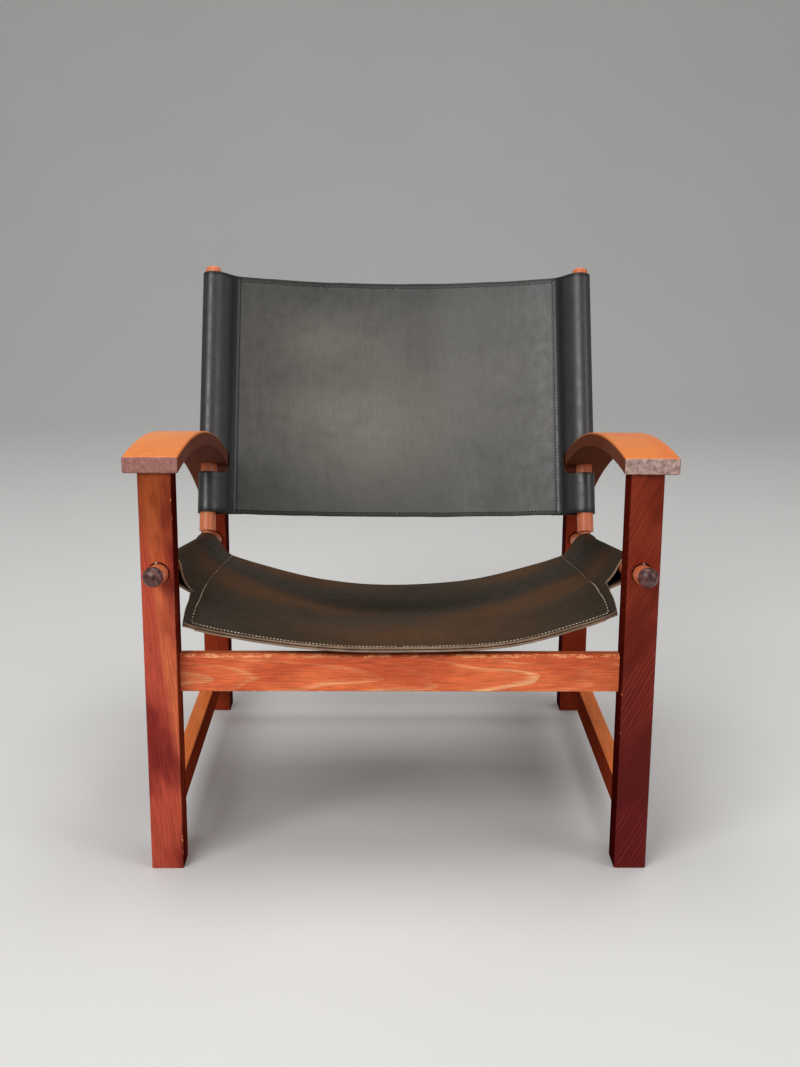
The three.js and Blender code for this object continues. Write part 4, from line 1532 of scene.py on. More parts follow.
@dataclass(frozen=True)
class LeatherFinish:
    """An old, much-used hide, with its flesh side and its raw edge."""

    name: str
    base: Colour
    patch: Colour
    worn: Colour
    shade: Colour
    flesh: Colour = (0.11, 0.06, 0.032)
    raw: Colour = (0.36, 0.235, 0.165)
    pebble: float = 520.0
    patch_share: float = 0.6
    breakup: float = 0.5
    streaks: float = 0.1
    streak_across: float = 240.0
    streak_along: float = 20.0
    rough: float = 0.5
    specular: float = 0.25
    speck_share: float = 0.5

    def grain_side(self, effects: SharedEffects) -> bpy.types.Material:
        """Build the finished outer side.

        Args:
            effects: The shared node groups.

        Returns:
            The material.
        """
        material, w, shader = new_material(self.name)
        place = w.flat_place()
        grain = w.group(effects.hide_grain, {"Place": place, "Pebble": self.pebble}).outputs
        marks_inputs = {"Place": place, "Across": self.streak_across, "Along": self.streak_along}
        marks = w.group(effects.rub_marks, marks_inputs).outputs
        patches = w.rise(w.stretched(place, (13, 9, 1), 4.0, 0.55, 0.6), 0.42, 0.62)
        colour = w.mix(w.times(patches, self.patch_share), self.base, self.patch)
        broken = w.stretched(place, (70, 45, 1), 4.0, 0.65)
        kept = w.rise(broken, 0.3, 0.62, 1 - self.breakup, 1.0)
        # Rubbing, which on the back also paints a soft sheen.
        rubbed_and_sheen = w.times(w.attribute("worn"), kept, clamp=True)
        colour = w.mix(rubbed_and_sheen, colour, self.worn)
        colour = w.scaled(colour, w.rise(marks["Streaks"], 0.3, 0.7, 1 - self.streaks, 1 + self.streaks))
        colour = w.scaled(colour, w.rise(marks["Smudges"], 0.0, 1.0, 1.0, 0.84))
        colour = w.scaled(colour, w.rise(grain["Pits"], 0.0, 1.0, 1.0, 0.86))
        shaded = w.attribute("shaded")
        colour = w.mix(shaded, colour, self.shade)
        groove = w.attribute("groove")
        # Painted shade in the seams' grooves.
        colour = w.mix(w.times(groove, 0.4), colour, self.shade)
        specks = w.rise(w.noise(place, 520.0, 1.0), 0.74, 0.8)
        colour = w.mix(w.times(specks, self.speck_share), colour, self.raw)
        w.put(shader.inputs["Base Color"], colour)
        rough = w.rise(broken, 0.25, 0.75, self.rough - 0.06, self.rough + 0.1)
        w.put(shader.inputs["Roughness"], w.plus(rough, w.times(rubbed_and_sheen, 0.2), clamp=True))
        specular = w.rise(shaded, 0.0, 1.0, self.specular, 0.3 * self.specular)
        w.put(shader.inputs["Specular IOR Level"], specular)
        relief = w.plus(grain["Height"], w.times(broken, 1.2))
        relief = w.math("SUBTRACT", relief, w.times(groove, 3.0))
        w.bump(shader, 0.25, 0.0005, relief)
        return material

    def rough_side(self, label: str, tone: Colour, fuzz: float) -> bpy.types.Material:
        """Build the flesh side or the raw edge, which have no finish.

        Args:
            label: What it is, for the material's name.
            tone: Its colour.
            fuzz: How strongly its fibres stand up.

        Returns:
            The material.
        """
        material, w, shader = new_material(f"{self.name}_{label}")
        place = w.add("ShaderNodeTexCoord").outputs["Object"]
        broad = w.noise(place, 45.0, 4.0, 0.6)
        fibres = w.noise(place, 800.0, 3.0, 0.7)
        dark, darkest = (tuple(share * part for part in tone) for share in (0.62, 0.45))
        colour = w.mix(w.rise(broad, 0.3, 0.7), dark, tone)
        colour = w.mix(w.times(w.rise(fibres, 0.45, 0.7), 0.45), colour, darkest)
        w.put(shader.inputs["Base Color"], colour)
        w.put(shader.inputs["Roughness"], w.rise(fibres, 0.2, 0.8, 0.78, 0.95))
        shader.inputs["Specular IOR Level"].default_value = self.specular
        w.bump(shader, fuzz, 0.0005, fibres)
        return material

    def materials(self, effects: SharedEffects) -> list[bpy.types.Material]:
        """The grain side, the flesh side and the raw edge, in the order of a sheet's slots."""
        flesh = self.rough_side("flesh", self.flesh, 0.5)
        return [self.grain_side(effects), flesh, self.rough_side("raw_edge", self.raw, 0.9)]


class Hides(Enum):
    """The two pieces of leather."""

    SEAT = LeatherFinish(
        "leather_seat", base=(0.031, 0.0235, 0.0155), patch=(0.027, 0.021, 0.013),
        worn=(0.078, 0.037, 0.0165), shade=(0.018, 0.013, 0.008), breakup=0.3, specular=0.06, rough=0.56,
    )
    BACK = LeatherFinish(
        "leather_back", base=(0.022, 0.020, 0.018), patch=(0.018, 0.017, 0.015), worn=(0.20, 0.181, 0.140),
        shade=(0.007, 0.0065, 0.006), flesh=(0.09, 0.075, 0.06), raw=(0.085, 0.05, 0.034), breakup=0.12,
        streaks=0.09, specular=0.69, rough=0.39, speck_share=0.0,
    )


@dataclass(frozen=True)
class ThreadFinish:
    """A waxed sewing thread."""

    name: str
    tone: Colour
    soiled: Colour
    specular: float = 0.2

    def material(self) -> bpy.types.Material:
        """Build the finish.

        Returns:
            The material.
        """
        material, w, shader = new_material(self.name)
        place = w.add("ShaderNodeTexCoord").outputs["Object"]
        soil = w.rise(w.noise(place, 60.0, 3.0), 0.4, 0.65)
        twist = w.noise(place, 2600.0, 2.0)
        w.put(shader.inputs["Base Color"], w.mix(soil, self.tone, self.soiled))
        w.put(shader.inputs["Roughness"], w.rise(twist, 0.2, 0.8, 0.5, 0.75))
        shader.inputs["Specular IOR Level"].default_value = self.specular
        w.bump(shader, 0.4, 0.0002, twist)
        return material


class Threads(Enum):
    """The two threads."""

    CREAM = ThreadFinish("thread_cream", tone=(0.66, 0.54, 0.38), soiled=(0.34, 0.23, 0.14))
    # Near black, which also paints the shade in the stitch holes.
    BLACK = ThreadFinish(
        "thread_black", tone=(0.003, 0.003, 0.003), soiled=(0.006, 0.0055, 0.005), specular=0.03
    )


@dataclass(frozen=True)
class SideSection:
    """One half of a sling's section: all that the shape of its leather there needs.

    Loose is how slack the upper layer lies between rod and seam, flat how far the flap follows
    the middle's slope instead of the rod, and hang how far the upper layer drops straight down
    from the rod.
    """

    inner: float
    depth: float
    seam_drop: float
    seam_x: float
    bow: float
    loose: float
    flat: float = 0.0
    hang: float = 0.0


@dataclass(frozen=True)
class Spot:
    """A soft oval spot on a sling."""

    x: float
    s: float
    wide: float
    long: float
    strength: float = 1.0

    def share(self, x: float, s: float) -> float:
        """How strong the spot is at a place."""
        across, along = (x - self.x) / self.wide, (s - self.s) / self.long
        return self.strength * math.exp(-(across**2) - along**2)


def spotted(spots: Iterable[Spot], x: float, s: float) -> float:
    """How strong several spots are together, at most 1."""
    return min(1.0, sum(spot.share(x, s) for spot in spots))


@dataclass(frozen=True)
class SheetColumns:
    """How many columns of the sheet each stretch of its section gets, on one side."""

    lap: int = 3
    flap: int = 4
    lower: int = 9
    arc: int = 20
    upper: int = 9
    pan: int = 74

    @property
    def sleeve(self) -> int:
        """The columns from the lap's end to the upper seam."""
        return self.lap + 2 * self.flap + self.lower + self.arc + self.upper

    @property
    def half(self) -> int:
        """The columns of one side, up to the sling's middle."""
        return self.sleeve + self.pan

    @property
    def behind(self) -> int:
        """The columns from the lap's end to the rod's outer side."""
        return self.lap + self.flap + self.lower + self.arc // 2


@dataclass
class Sling:
    """A piece of leather sewn into a sleeve round each of two rods."""

    line: RodLine
    name: str
    node: str
    slot: Slot
    hide: Hides
    leather: float = 0.003
    lap: float = 0.009
    flap: float = 0.0115
    stiffness: float = 0.36
    seam_inset: float = 0.040
    row_step: float = 0.004
    columns: SheetColumns = field(default_factory=SheetColumns)
    rim_edge: float = 0.0006
    groove_wide: float = 0.004
    paths: dict[tuple[Side, float], list[Vector]] = field(default_factory=dict)
    flat_size: tuple[float, float] = (0.0, 0.0)
    flat_area: float = 0.0

    RIM_ANGLE = math.radians(60)  # a rim turns more than this
    UPPER_STEPS = 24
    HANG_ANGLE = math.radians(8)  # where a hanging layer leaves the rod
    HANG_STIFFNESS = 0.42

    def section(self, side: Side, s: float) -> SideSection:
        """The shape of one side's section at a length along the rods."""
        raise NotImplementedError

    def rows(self) -> list[float]:
        """The lengths along the rods at which the sheet has its rows."""
        raise NotImplementedError

    def relief(self, x: float, s: float) -> float:
        """How far folds and sag lift the leather off its even shape."""
        raise NotImplementedError

    def flap_at(self, s: float) -> float:
        """How wide the sewn double edge beside the seam is."""
        return self.flap

    def seam_at(self, s: float) -> float:
        """How far the seams lie from the middle."""
        return self.line.half_span - self.seam_inset

    def sink(self, s: float) -> float:
        """How deep the seams' stitches lie in the leather."""
        return 0.0

    def half_path(self, side: Side, s: float) -> list[Vector]:
        """Give one side of the leather's middle layer across the rods, laid out the first time.

        Args:
            side: The side of the chair.
            s: The length along the rods.

        Returns:
            The points of x and n, as if the side were the left one.
        """
        key = (side, round(s, 7))
        if key not in self.paths:
            self.paths[key] = self._lay_out(side, s)
        return self.paths[key]

    def _lay_out(self, side: Side, s: float) -> list[Vector]:
        """Lay out one side of the leather's middle layer across the rods.

        It runs from the lap under the seam, along the lower layer, round the rod, back along the
        upper layer to the seam and on to the sling's middle.

        Args:
            side: The side of the chair.
            s: The length along the rods.

        Returns:
            One point of x and n for each column, as if the side were the left one.
        """
        part, columns, half = self.section(side, s), self.columns, self.leather / 2
        centre = Vector((-self.line.half_span, 0))
        seam = Vector((-part.seam_x, -part.seam_drop - half))
        under = seam - Vector((0, self.leather))
        radius = part.inner + half
        upper_line, upper_angle = self._touch(seam, centre, radius, -1)
        lower_line, lower_angle = self._touch(under, centre, radius, 1)
        slope = math.atan((part.depth - part.seam_drop) * part.bow / part.seam_x)
        flat_line = math.pi - slope
        leave = lerp(lerp(upper_angle, math.pi / 2, part.loose), self.HANG_ANGLE, part.hang)
        at_seam = lerp(upper_line, flat_line, max(part.loose, part.flat, part.hang))
        stiffness = lerp(self.stiffness, self.HANG_STIFFNESS, part.hang)
        top = centre + turned(leave, radius)
        upper = bezier(seam, at_seam, top, leave + math.pi / 2, stiffness, self.UPPER_STEPS)
        lower = [under, centre + turned(lower_angle, radius)]
        if part.flat > 0:
            lower_line = lerp(lower_line, flat_line, part.flat)
            lower = [under, under + turned(lower_line, span_of(lower))]
        sweep = (lower_angle - leave) % math.tau
        lap_end = Vector((-part.seam_x + self.lap, 0))
        lap_end.y = self._pan(part, lap_end.x) - half - self.leather
        path = [lap_end.lerp(under, step / columns.lap) for step in range(columns.lap)]
        path += spread(lower, self._two_paces(s, span_of(lower), columns.lower))[:-1]
        turns = [lower_angle - sweep * step / columns.arc for step in range(columns.arc)]
        path += [centre + turned(angle, radius) for angle in turns]
        out = spread(upper, self._two_paces(s, span_of(upper), columns.upper))
        path += out[:0:-1]
        for step in range(columns.pan + 1):
            x = -part.seam_x * (1 - step / columns.pan)
            path.append(Vector((x, self._pan(part, x) - half)))
        return path

    def _two_paces(self, s: float, length: float, rest: int) -> list[float]:
        """Give lengths from a seam outwards: even steps over the flap, then over the rest.

        Args:
            s: The length along the rods.
            length: How far the layer runs from the seam.
            rest: How many steps follow the flap.

        Returns:
            The lengths, rising.
        """
        flap = self.flap_at(s)
        near = [flap * step / self.columns.flap for step in range(self.columns.flap)]
        return near + [lerp(flap, length, step / rest) for step in range(rest + 1)]

    @staticmethod
    def _touch(point: Vector, centre: Vector, radius: float, sense: int) -> tuple[float, float]:
        """Run a line from a point so that it touches a circle.

        Args:
            point: Where the line starts.
            centre: The circle's middle.
            radius: Its radius.
            sense: 1 or -1, for the side on which the line touches it.

        Returns:
            The line's angle, and the angle round the circle at which it touches.
        """
        to_centre = centre - point
        line = math.atan2(to_centre.y, to_centre.x) + sense * math.asin(radius / to_centre.length)
        return line, line + sense * math.pi / 2

    @staticmethod
    def _pan(part: SideSection, x: float) -> float:
        """The height of the leather's upper side between the seams."""
        return -part.depth + (part.depth - part.seam_drop) * abs(x / part.seam_x) ** part.bow

    def row(self, s: float) -> list[Vector]:
        """Lay out a whole row of the sheet.

        Args:
            s: The length along the rods.

        Returns:
            One point of x and n for each column, from the left lap to the right one.
        """
        left = self.half_path(Side.LEFT, s)
        right = [Vector((-point.x, point.y)) for point in self.half_path(Side.RIGHT, s)]
        return left + right[-2::-1]

    def is_cut_out(self, column: int, s: float) -> bool:
        """Whether the sheet has a hole at a column and a length along the rods."""
        return False

    def edge_shift(self, x: float, s: float) -> float:
        """How far a hem wanders along the rods."""
        return 0.0

    def build_sheet(self) -> tuple[BMesh, list[float], float]:
        """Shape the leather's middle layer from a flat grid.

        Returns:
            The mesh with its flat places as a UV map, each row's flat width, and the flat area.
        """
        rows = self.rows()
        across, down = 2 * self.columns.half, len(rows) - 1
        bm = bmesh.new()
        bmesh.ops.create_grid(bm, x_segments=across, y_segments=down, size=1.0)
        uv_layer = bm.loops.layers.uv.new(FLAT_MAP)
        behind = bm.faces.layers.int.new(BEHIND_LAYER)
        shapes = [self.row(s) for s in rows]
        flats = self.flat_places(rows, shapes)
        places = {}
        for vert in bm.verts:
            column = round((vert.co.x + 1) / 2 * across)
            row = round((vert.co.y + 1) / 2 * down)
            places[vert] = (column, row)
        for vert, (column, row) in places.items():
            point, s = shapes[row][column], rows[row]
            lift = self.relief(point.x, s) if self._shows(column) else 0.0
            vert.co = self.line.at(point.x, s + self.edge_shift(point.x, s), point.y + lift)
            for loop in vert.link_loops:
                loop[uv_layer].uv = (flats[row][column], s)
        holes = []
        for face in bm.faces:
            column = min(places[vert][0] for vert in face.verts)
            row = min(places[vert][1] for vert in face.verts)
            face[behind] = int(min(column, across - 1 - column) < self.columns.behind)
            if self.is_cut_out(column, (rows[row] + rows[row + 1]) / 2):
                holes.append(face)
        bmesh.ops.delete(bm, geom=holes, context="FACES")
        self.trim(bm)
        bm.faces.layers.int.remove(bm.faces.layers.int[BEHIND_LAYER])
        middle = min(bm.faces, key=lambda face: abs(face.calc_center_median().x))
        if middle.normal.dot(self.line.normal) < 0:
            bmesh.ops.reverse_faces(bm, faces=bm.faces)
        widths = [flat[-1] - flat[0] for flat in flats]
        return bm, widths, sum(face.calc_area() for face in bm.faces)

    def flat_places(self, rows: Sequence[float], shapes: Sequence[Sequence[Vector]]) -> list[list[float]]:
        """Measure how far each column lies from the middle once the leather is flat.

        Args:
            rows: The rows' lengths along the rods, which are not used here.
            shapes: Each row's points.

        Returns:
            One list of places for each row.
        """
        flats = []
        for lengths in map(lengths_along, shapes):
            flats.append([length - lengths[self.columns.half] for length in lengths])
        return flats

    def _shows(self, column: int) -> bool:
        """Whether a column belongs to the leather between the seams or to the upper layers."""
        inset = min(column, 2 * self.columns.half - column)
        return inset > self.columns.sleeve - self.columns.flap

    def trim(self, bm: BMesh) -> None:
        """Cut the sheet to its outline where that doesn't follow the grid."""

    def masks(self, x: float, s: float) -> tuple[float, float]:
        """How much rubbing, with painted sheen, and how much shade the leather has at a place."""
        return 0.0, 0.0

    def build(self, effects: SharedEffects) -> bpy.types.Object:
        """Model and dress the leather.

        Args:
            effects: The shared node groups.

        Returns:
            The finished sheet.
        """
        bm, widths, area = self.build_sheet()
        shade_round(bm)
        piece = new_object(self.name, bm, self.hide.value.materials(effects))
        self._store_masks(piece.data)
        self.thicken(piece)
        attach(piece, "root")
        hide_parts(self.node)
        rows = self.rows()
        self.flat_size = (max(widths), rows[-1] - rows[0])
        self.flat_area = area
        millimetres = [1000 * size for size in self.flat_size]
        LOG.info("%s: flat %.0f x %.0f mm, %.4f m2", self.name, *millimetres, area)
        return piece

    def thicken(self, piece: bpy.types.Object) -> None:
        """Give a sheet the leather's thickness and rims softened by rubbing.

        Args:
            piece: The sheet, whose materials are its outer side, its inner side and its rim.
        """
        wall = piece.modifiers.new("thickness", "SOLIDIFY")
        wall.thickness = self.leather
        wall.offset = 0.0
        wall.use_even_offset = True
        wall.use_quality_normals = True
        wall.material_offset = 1
        wall.material_offset_rim = 2
        rim = piece.modifiers.new("rubbed_rim", "BEVEL")
        rim.width = self.rim_edge
        rim.segments = 2
        rim.limit_method = "ANGLE"
        rim.angle_limit = self.RIM_ANGLE
        rim.use_clamp_overlap = True

    def _store_masks(self, mesh: bpy.types.Mesh) -> None:
        """Store the rubbing with its painted sheen, the shade and the seams' grooves as attributes of the
        sheet.

        Args:
            mesh: The sheet's mesh.
        """
        worn, shaded, groove = [], [], []
        start = self.line.at(0, 0)
        for vert in mesh.vertices:
            s = (vert.co - start).dot(self.line.along)
            worn_and_sheen_here, shaded_here = self.masks(vert.co.x, s)
            worn.append(worn_and_sheen_here)
            shaded.append(shaded_here)
            groove.append(1 - smooth(0, self.groove_wide, abs(abs(vert.co.x) - self.seam_at(s))))
        for name, values in (("worn", worn), ("shaded", shaded), ("groove", groove)):
            set_values(mesh, name, "FLOAT", "POINT", values)

    def surface(self, side: Side, column: float, s: float, proud: float) -> tuple[Vector, Vector, Vector]:
        """Find a place on the leather's outer side for a stitch.

        Args:
            side: The side of the chair.
            column: The column of that side's path, counted from its lap, which may be a fraction.
            s: The length along the rods.
            proud: How far above the outer side.

        Returns:
            The point, the direction along the rods there and the outward direction.
        """
        def middle(place: float, length: float) -> Vector:
            """Find a point of the middle layer.

            Args:
                place: The column, which may be a fraction.
                length: The length along the rods.

            Returns:
                The point in the chair.
            """
            path = self.half_path(side, length)
            index = min(int(place), len(path) - 2)
            flat = path[index].lerp(path[index + 1], place - index)
            lifted = index >= self.columns.sleeve - self.columns.flap
            lift = self.relief(side.value * -flat.x, length) if lifted else 0.0
            x = flat.x if side is Side.LEFT else -flat.x
            return self.line.at(x, length + self.edge_shift(x, length), flat.y + lift)

        step_column, step_s = 0.4, 0.001
        point = middle(column, s)
        along = (middle(column, s + step_s) - middle(column, s - step_s)).normalized()
        across = (middle(column + step_column, s) - middle(column - step_column, s)).normalized()
        if side is Side.RIGHT:
            across = -across
        outward = across.cross(along)
        return point + outward * (self.leather / 2 + proud), along, outward


@dataclass
class SeatSling(Sling):
    """The seat: a front panel between the legs, then a sleeve round each rail.

    Beside each leg the double edge is slit, where the sleeve's front end starts.
    """

    line: RodLine = RAILS
    name: str = "seat_leather_sheet"
    node: str = "seat_sling"
    slot: Slot = Slot.SEAT
    hide: Hides = Hides.SEAT
    front: float = 0.009
    sleeve_front: float = 0.070
    rear: float = 0.455
    depth: float = 0.095
    seam_drop: float = 0.060
    bow_front: float = 2.5
    bow_rear: float = 2.0
    lip: float = 0.003
    skew: float = 0.007
    corner_spread: float = 0.0045
    strip_wide: float = 0.013
    strip_gap: float = 0.0008
    strip_proud: float = 0.0006
    slit_tip: float = 0.0055
    slit_wide: float = 0.0055
    slit_drop: float = 0.0025
    flat_until: float = 0.040
    hang_until: float = 0.150
    hem_seam: float = 0.0035

    WORN = (
        Spot(0.02, 0.075, 0.16, 0.09), Spot(-0.14, 0.25, 0.12, 0.055), Spot(-0.24, 0.23, 0.06, 0.07),
        Spot(0.15, 0.19, 0.12, 0.055), Spot(0.24, 0.18, 0.05, 0.06), Spot(-0.17, 0.44, 0.15, 0.04),
        Spot(0.20, 0.43, 0.09, 0.05), Spot(-0.29, 0.12, 0.03, 0.05, 0.3),
        Spot(0.29, 0.14, 0.03, 0.07, 0.15),
    )
    DARK = (
        Spot(0.01, 0.33, 0.16, 0.075, 0.7), Spot(0.0, 0.30, 0.22, 0.05, 0.3),
        Spot(0.295, 0.28, 0.03, 0.16, 0.6), Spot(-0.295, 0.28, 0.03, 0.16, 0.2),
    )
    PLACES = (0, 0.055, 0.11, 0.17, 0.26, 0.38, 0.52, 0.66, 0.83, 0.95, 1)
    DEPTHS = (1, 0.98, 0.963, 0.937, 0.921, 0.916, 0.9, 0.858, 0.779, 0.695, 0.666)
    SEAMS = (1, 0.71, 0.583, 0.49, 0.433, 0.392, 0.35, 0.317, 0.292, 0.283, 0.283)
    LOOSE = (0, 0, 0, 0, 0, 0, 0.1, 0.2, 0.4, 0.7, 0.9)
    LIPS = (0, 0, 0, 0, 0, 0, 0, 0, 0, 0.2, 1)
    SKEWS = (1, 0.8, 0.66, 0.5, 0.25, 0, 0, 0, 0, 0, 0)
    HANGS = {Side.LEFT: 1.0, Side.RIGHT: 0.4}

    def section(self, side: Side, s: float) -> SideSection:
        """Give one side's section.

        Args:
            side: The side of the chair.
            s: The length along the rails.

        Returns:
            The section.
        """
        place = (s - self.front) / (self.rear - self.front)
        skew = -side.value * self.skew * table_at(self.PLACES, self.SKEWS, place)
        return SideSection(
            inner=self.line.radius + GAP + self.lip * table_at(self.PLACES, self.LIPS, place),
            depth=self.depth * table_at(self.PLACES, self.DEPTHS, place),
            seam_drop=self.seam_drop * table_at(self.PLACES, self.SEAMS, place) + skew,
            seam_x=self.seam_at(s),
            bow=lerp(self.bow_front, self.bow_rear, place),
            loose=min(1.0, max(0.0, table_at(self.PLACES, self.LOOSE, place))),
            flat=1 - smooth(self.flat_until, self.sleeve_front, s),
            hang=self.HANGS[side] * (1 - smooth(self.sleeve_front, self.hang_until, s)),
        )

    def seam_at(self, s: float) -> float:
        """The seams' distance from the middle, which spreads at the front corners."""
        return super().seam_at(s) + self.corner_spread * (1 - smooth(self.front, 0.060, s))

    def sink(self, s: float) -> float:
        """The stitches lie deeper behind the front legs, where use has flattened the thread."""
        return 0.0005 * smooth(0.07, 0.15, s)

    def flap_at(self, s: float) -> float:
        """Cut the double edge unevenly, and wider towards the slit.

        Args:
            s: The length along the rails.

        Returns:
            Its width.
        """
        uneven = 0.0012 * noise.noise(Vector((s * 60, 2.2, 0.3)))
        uneven *= 1 - smooth(0.055, self.sleeve_front, s)
        return self.flap + 0.003 * smooth(0.030, 0.060, s) + uneven

    def flat_places(self, rows: Sequence[float], shapes: Sequence[Sequence[Vector]]) -> list[list[float]]:
        """Measure the flat places, where the sleeves' cut is even in front of their ends.

        Args:
            rows: The rows' lengths along the rods.
            shapes: Each row's points.

        Returns:
            One list of places for each row.
        """
        flats = super().flat_places(rows, shapes)
        first = next(index for index, s in enumerate(rows) if s >= self.sleeve_front - GAP)
        turn = self.columns.sleeve - self.columns.flap
        for flat in flats[:first]:
            for column in range(turn):
                flat[column] = flat[turn] + flats[first][column] - flats[first][turn]
                flat[-1 - column] = -flat[column]
        return flats

    def build_strip(self, sheet: bpy.types.Object) -> bpy.types.Object:
        """Model the second layer of leather that is sewn under the front hem.

        Args:
            sheet: The finished seat, whose materials it shares.

        Returns:
            The finished strip.
        """
        skipped, depth_steps = 1, 4
        start = self.front - self.strip_proud
        rows = [start + self.strip_wide * step / depth_steps for step in range(depth_steps + 1)]
        first = self.columns.sleeve + skipped
        last = 2 * self.columns.half - first
        bm = bmesh.new()
        bmesh.ops.create_grid(bm, x_segments=last - first, y_segments=depth_steps, size=1.0)
        shapes = [self.row(max(s, self.front)) for s in rows]
        for vert in bm.verts:
            column = first + round((vert.co.x + 1) / 2 * (last - first))
            row = round((vert.co.y + 1) / 2 * depth_steps)
            point, s = shapes[row][column], rows[row]
            uneven = 0.0008 * noise.noise(Vector((point.x * 45, 5.1, 0.2)))
            below = self.leather + self.strip_gap - self.relief(point.x, s)
            vert.co = self.line.at(point.x, s + self.edge_shift(point.x, s) + uneven, point.y - below)
        shade_round(bm)
        _, flesh, raw = sheet.data.materials
        piece = new_object("seat_hem_strip", bm, [flesh, flesh, raw])
        self.thicken(piece)
        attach(piece, "root")
        return piece

    def trim(self, bm: BMesh) -> None:
        """Slit the double edges where the sleeves' front ends start, and spread the slits.

        Args:
            bm: The sheet.
        """
        start = self.line.at(0, 0)
        inner = {side: self.section(side, self.sleeve_front).seam_x + self.slit_tip for side in Side}

        def on_slit(vert: BMVert) -> bool:
            """Tell whether a vertex lies on the line of a slit, past its tip.

            Args:
                vert: A vertex of the sheet.

            Returns:
                Whether it does.
            """
            side = Side.LEFT if vert.co.x < 0 else Side.RIGHT
            s = (vert.co - start).dot(self.line.along)
            return abs(s - self.sleeve_front) < GAP and abs(vert.co.x) > inner[side] - GAP

        cut = [e for e in bm.edges if not e.is_boundary and all(on_slit(vert) for vert in e.verts)]
        bmesh.ops.split_edges(bm, edges=cut)
        front_faces = [
            face for face in bm.faces
            if (face.calc_center_median() - start).dot(self.line.along) < self.sleeve_front
        ]
        for vert in {vert for face in front_faces for vert in face.verts if on_slit(vert)}:
            side = Side.LEFT if vert.co.x < 0 else Side.RIGHT
            share = smooth(0, self.flap, abs(vert.co.x) - inner[side])
            vert.co -= share * (self.slit_wide * self.line.along + self.slit_drop * self.line.normal)

    def rows(self) -> list[float]:
        """Lay out rows that fall on the sleeves' front ends.

        Returns:
            The lengths along the rails.
        """
        front = round((self.sleeve_front - self.front) / self.row_step)
        rear = round((self.rear - self.sleeve_front) / self.row_step)
        rows = [lerp(self.front, self.sleeve_front, step / front) for step in range(front)]
        return rows + [lerp(self.sleeve_front, self.rear, step / rear) for step in range(rear + 1)]

    def relief(self, x: float, s: float) -> float:
        """Lift the leather along its soft folds.

        Args:
            x: How far right of the middle.
            s: How far along the rails.

        Returns:
            The lift, in metres.
        """
        fade = 1 - smooth(0.20, 0.258, abs(x))
        fold = 0.215 + 0.18 * max(0.0, abs(x) - 0.05) + 0.02 * noise.noise(Vector((x * 6, 0.1, 0.9)))
        crest = 0.0035 * math.exp(-(((s - fold) / 0.028) ** 2)) * smooth(0.02, 0.12, abs(x))
        return fade * (0.0022 * noise.noise(Vector((x * 9, s * 11, 0.4))) + crest)

    def edge_shift(self, x: float, s: float) -> float:
        """Let both hems wander a little along the rails."""
        near = 1 - smooth(0, 0.03, min(s - self.front, self.rear - s))
        return near * 0.0012 * noise.noise(Vector((x * 30, 0.7, s)))

    def is_cut_out(self, column: int, s: float) -> bool:
        """Leave out the notches that let the sheet pass the legs.

        Args:
            column: The column of the face.
            s: The length along the rails.

        Returns:
            Whether a notch is there.
        """
        inset = min(column, 2 * self.columns.half - 1 - column)
        first = self.columns.lap + self.columns.flap
        last = self.columns.sleeve - self.columns.flap
        return s < self.sleeve_front and first <= inset < last

    def masks(self, x: float, s: float) -> tuple[float, float]:
        """Rub the seat along its folds and its front, and paint shade in its hollow and on its sleeves."""
        return spotted(self.WORN, x, s), spotted(self.DARK, x, s)


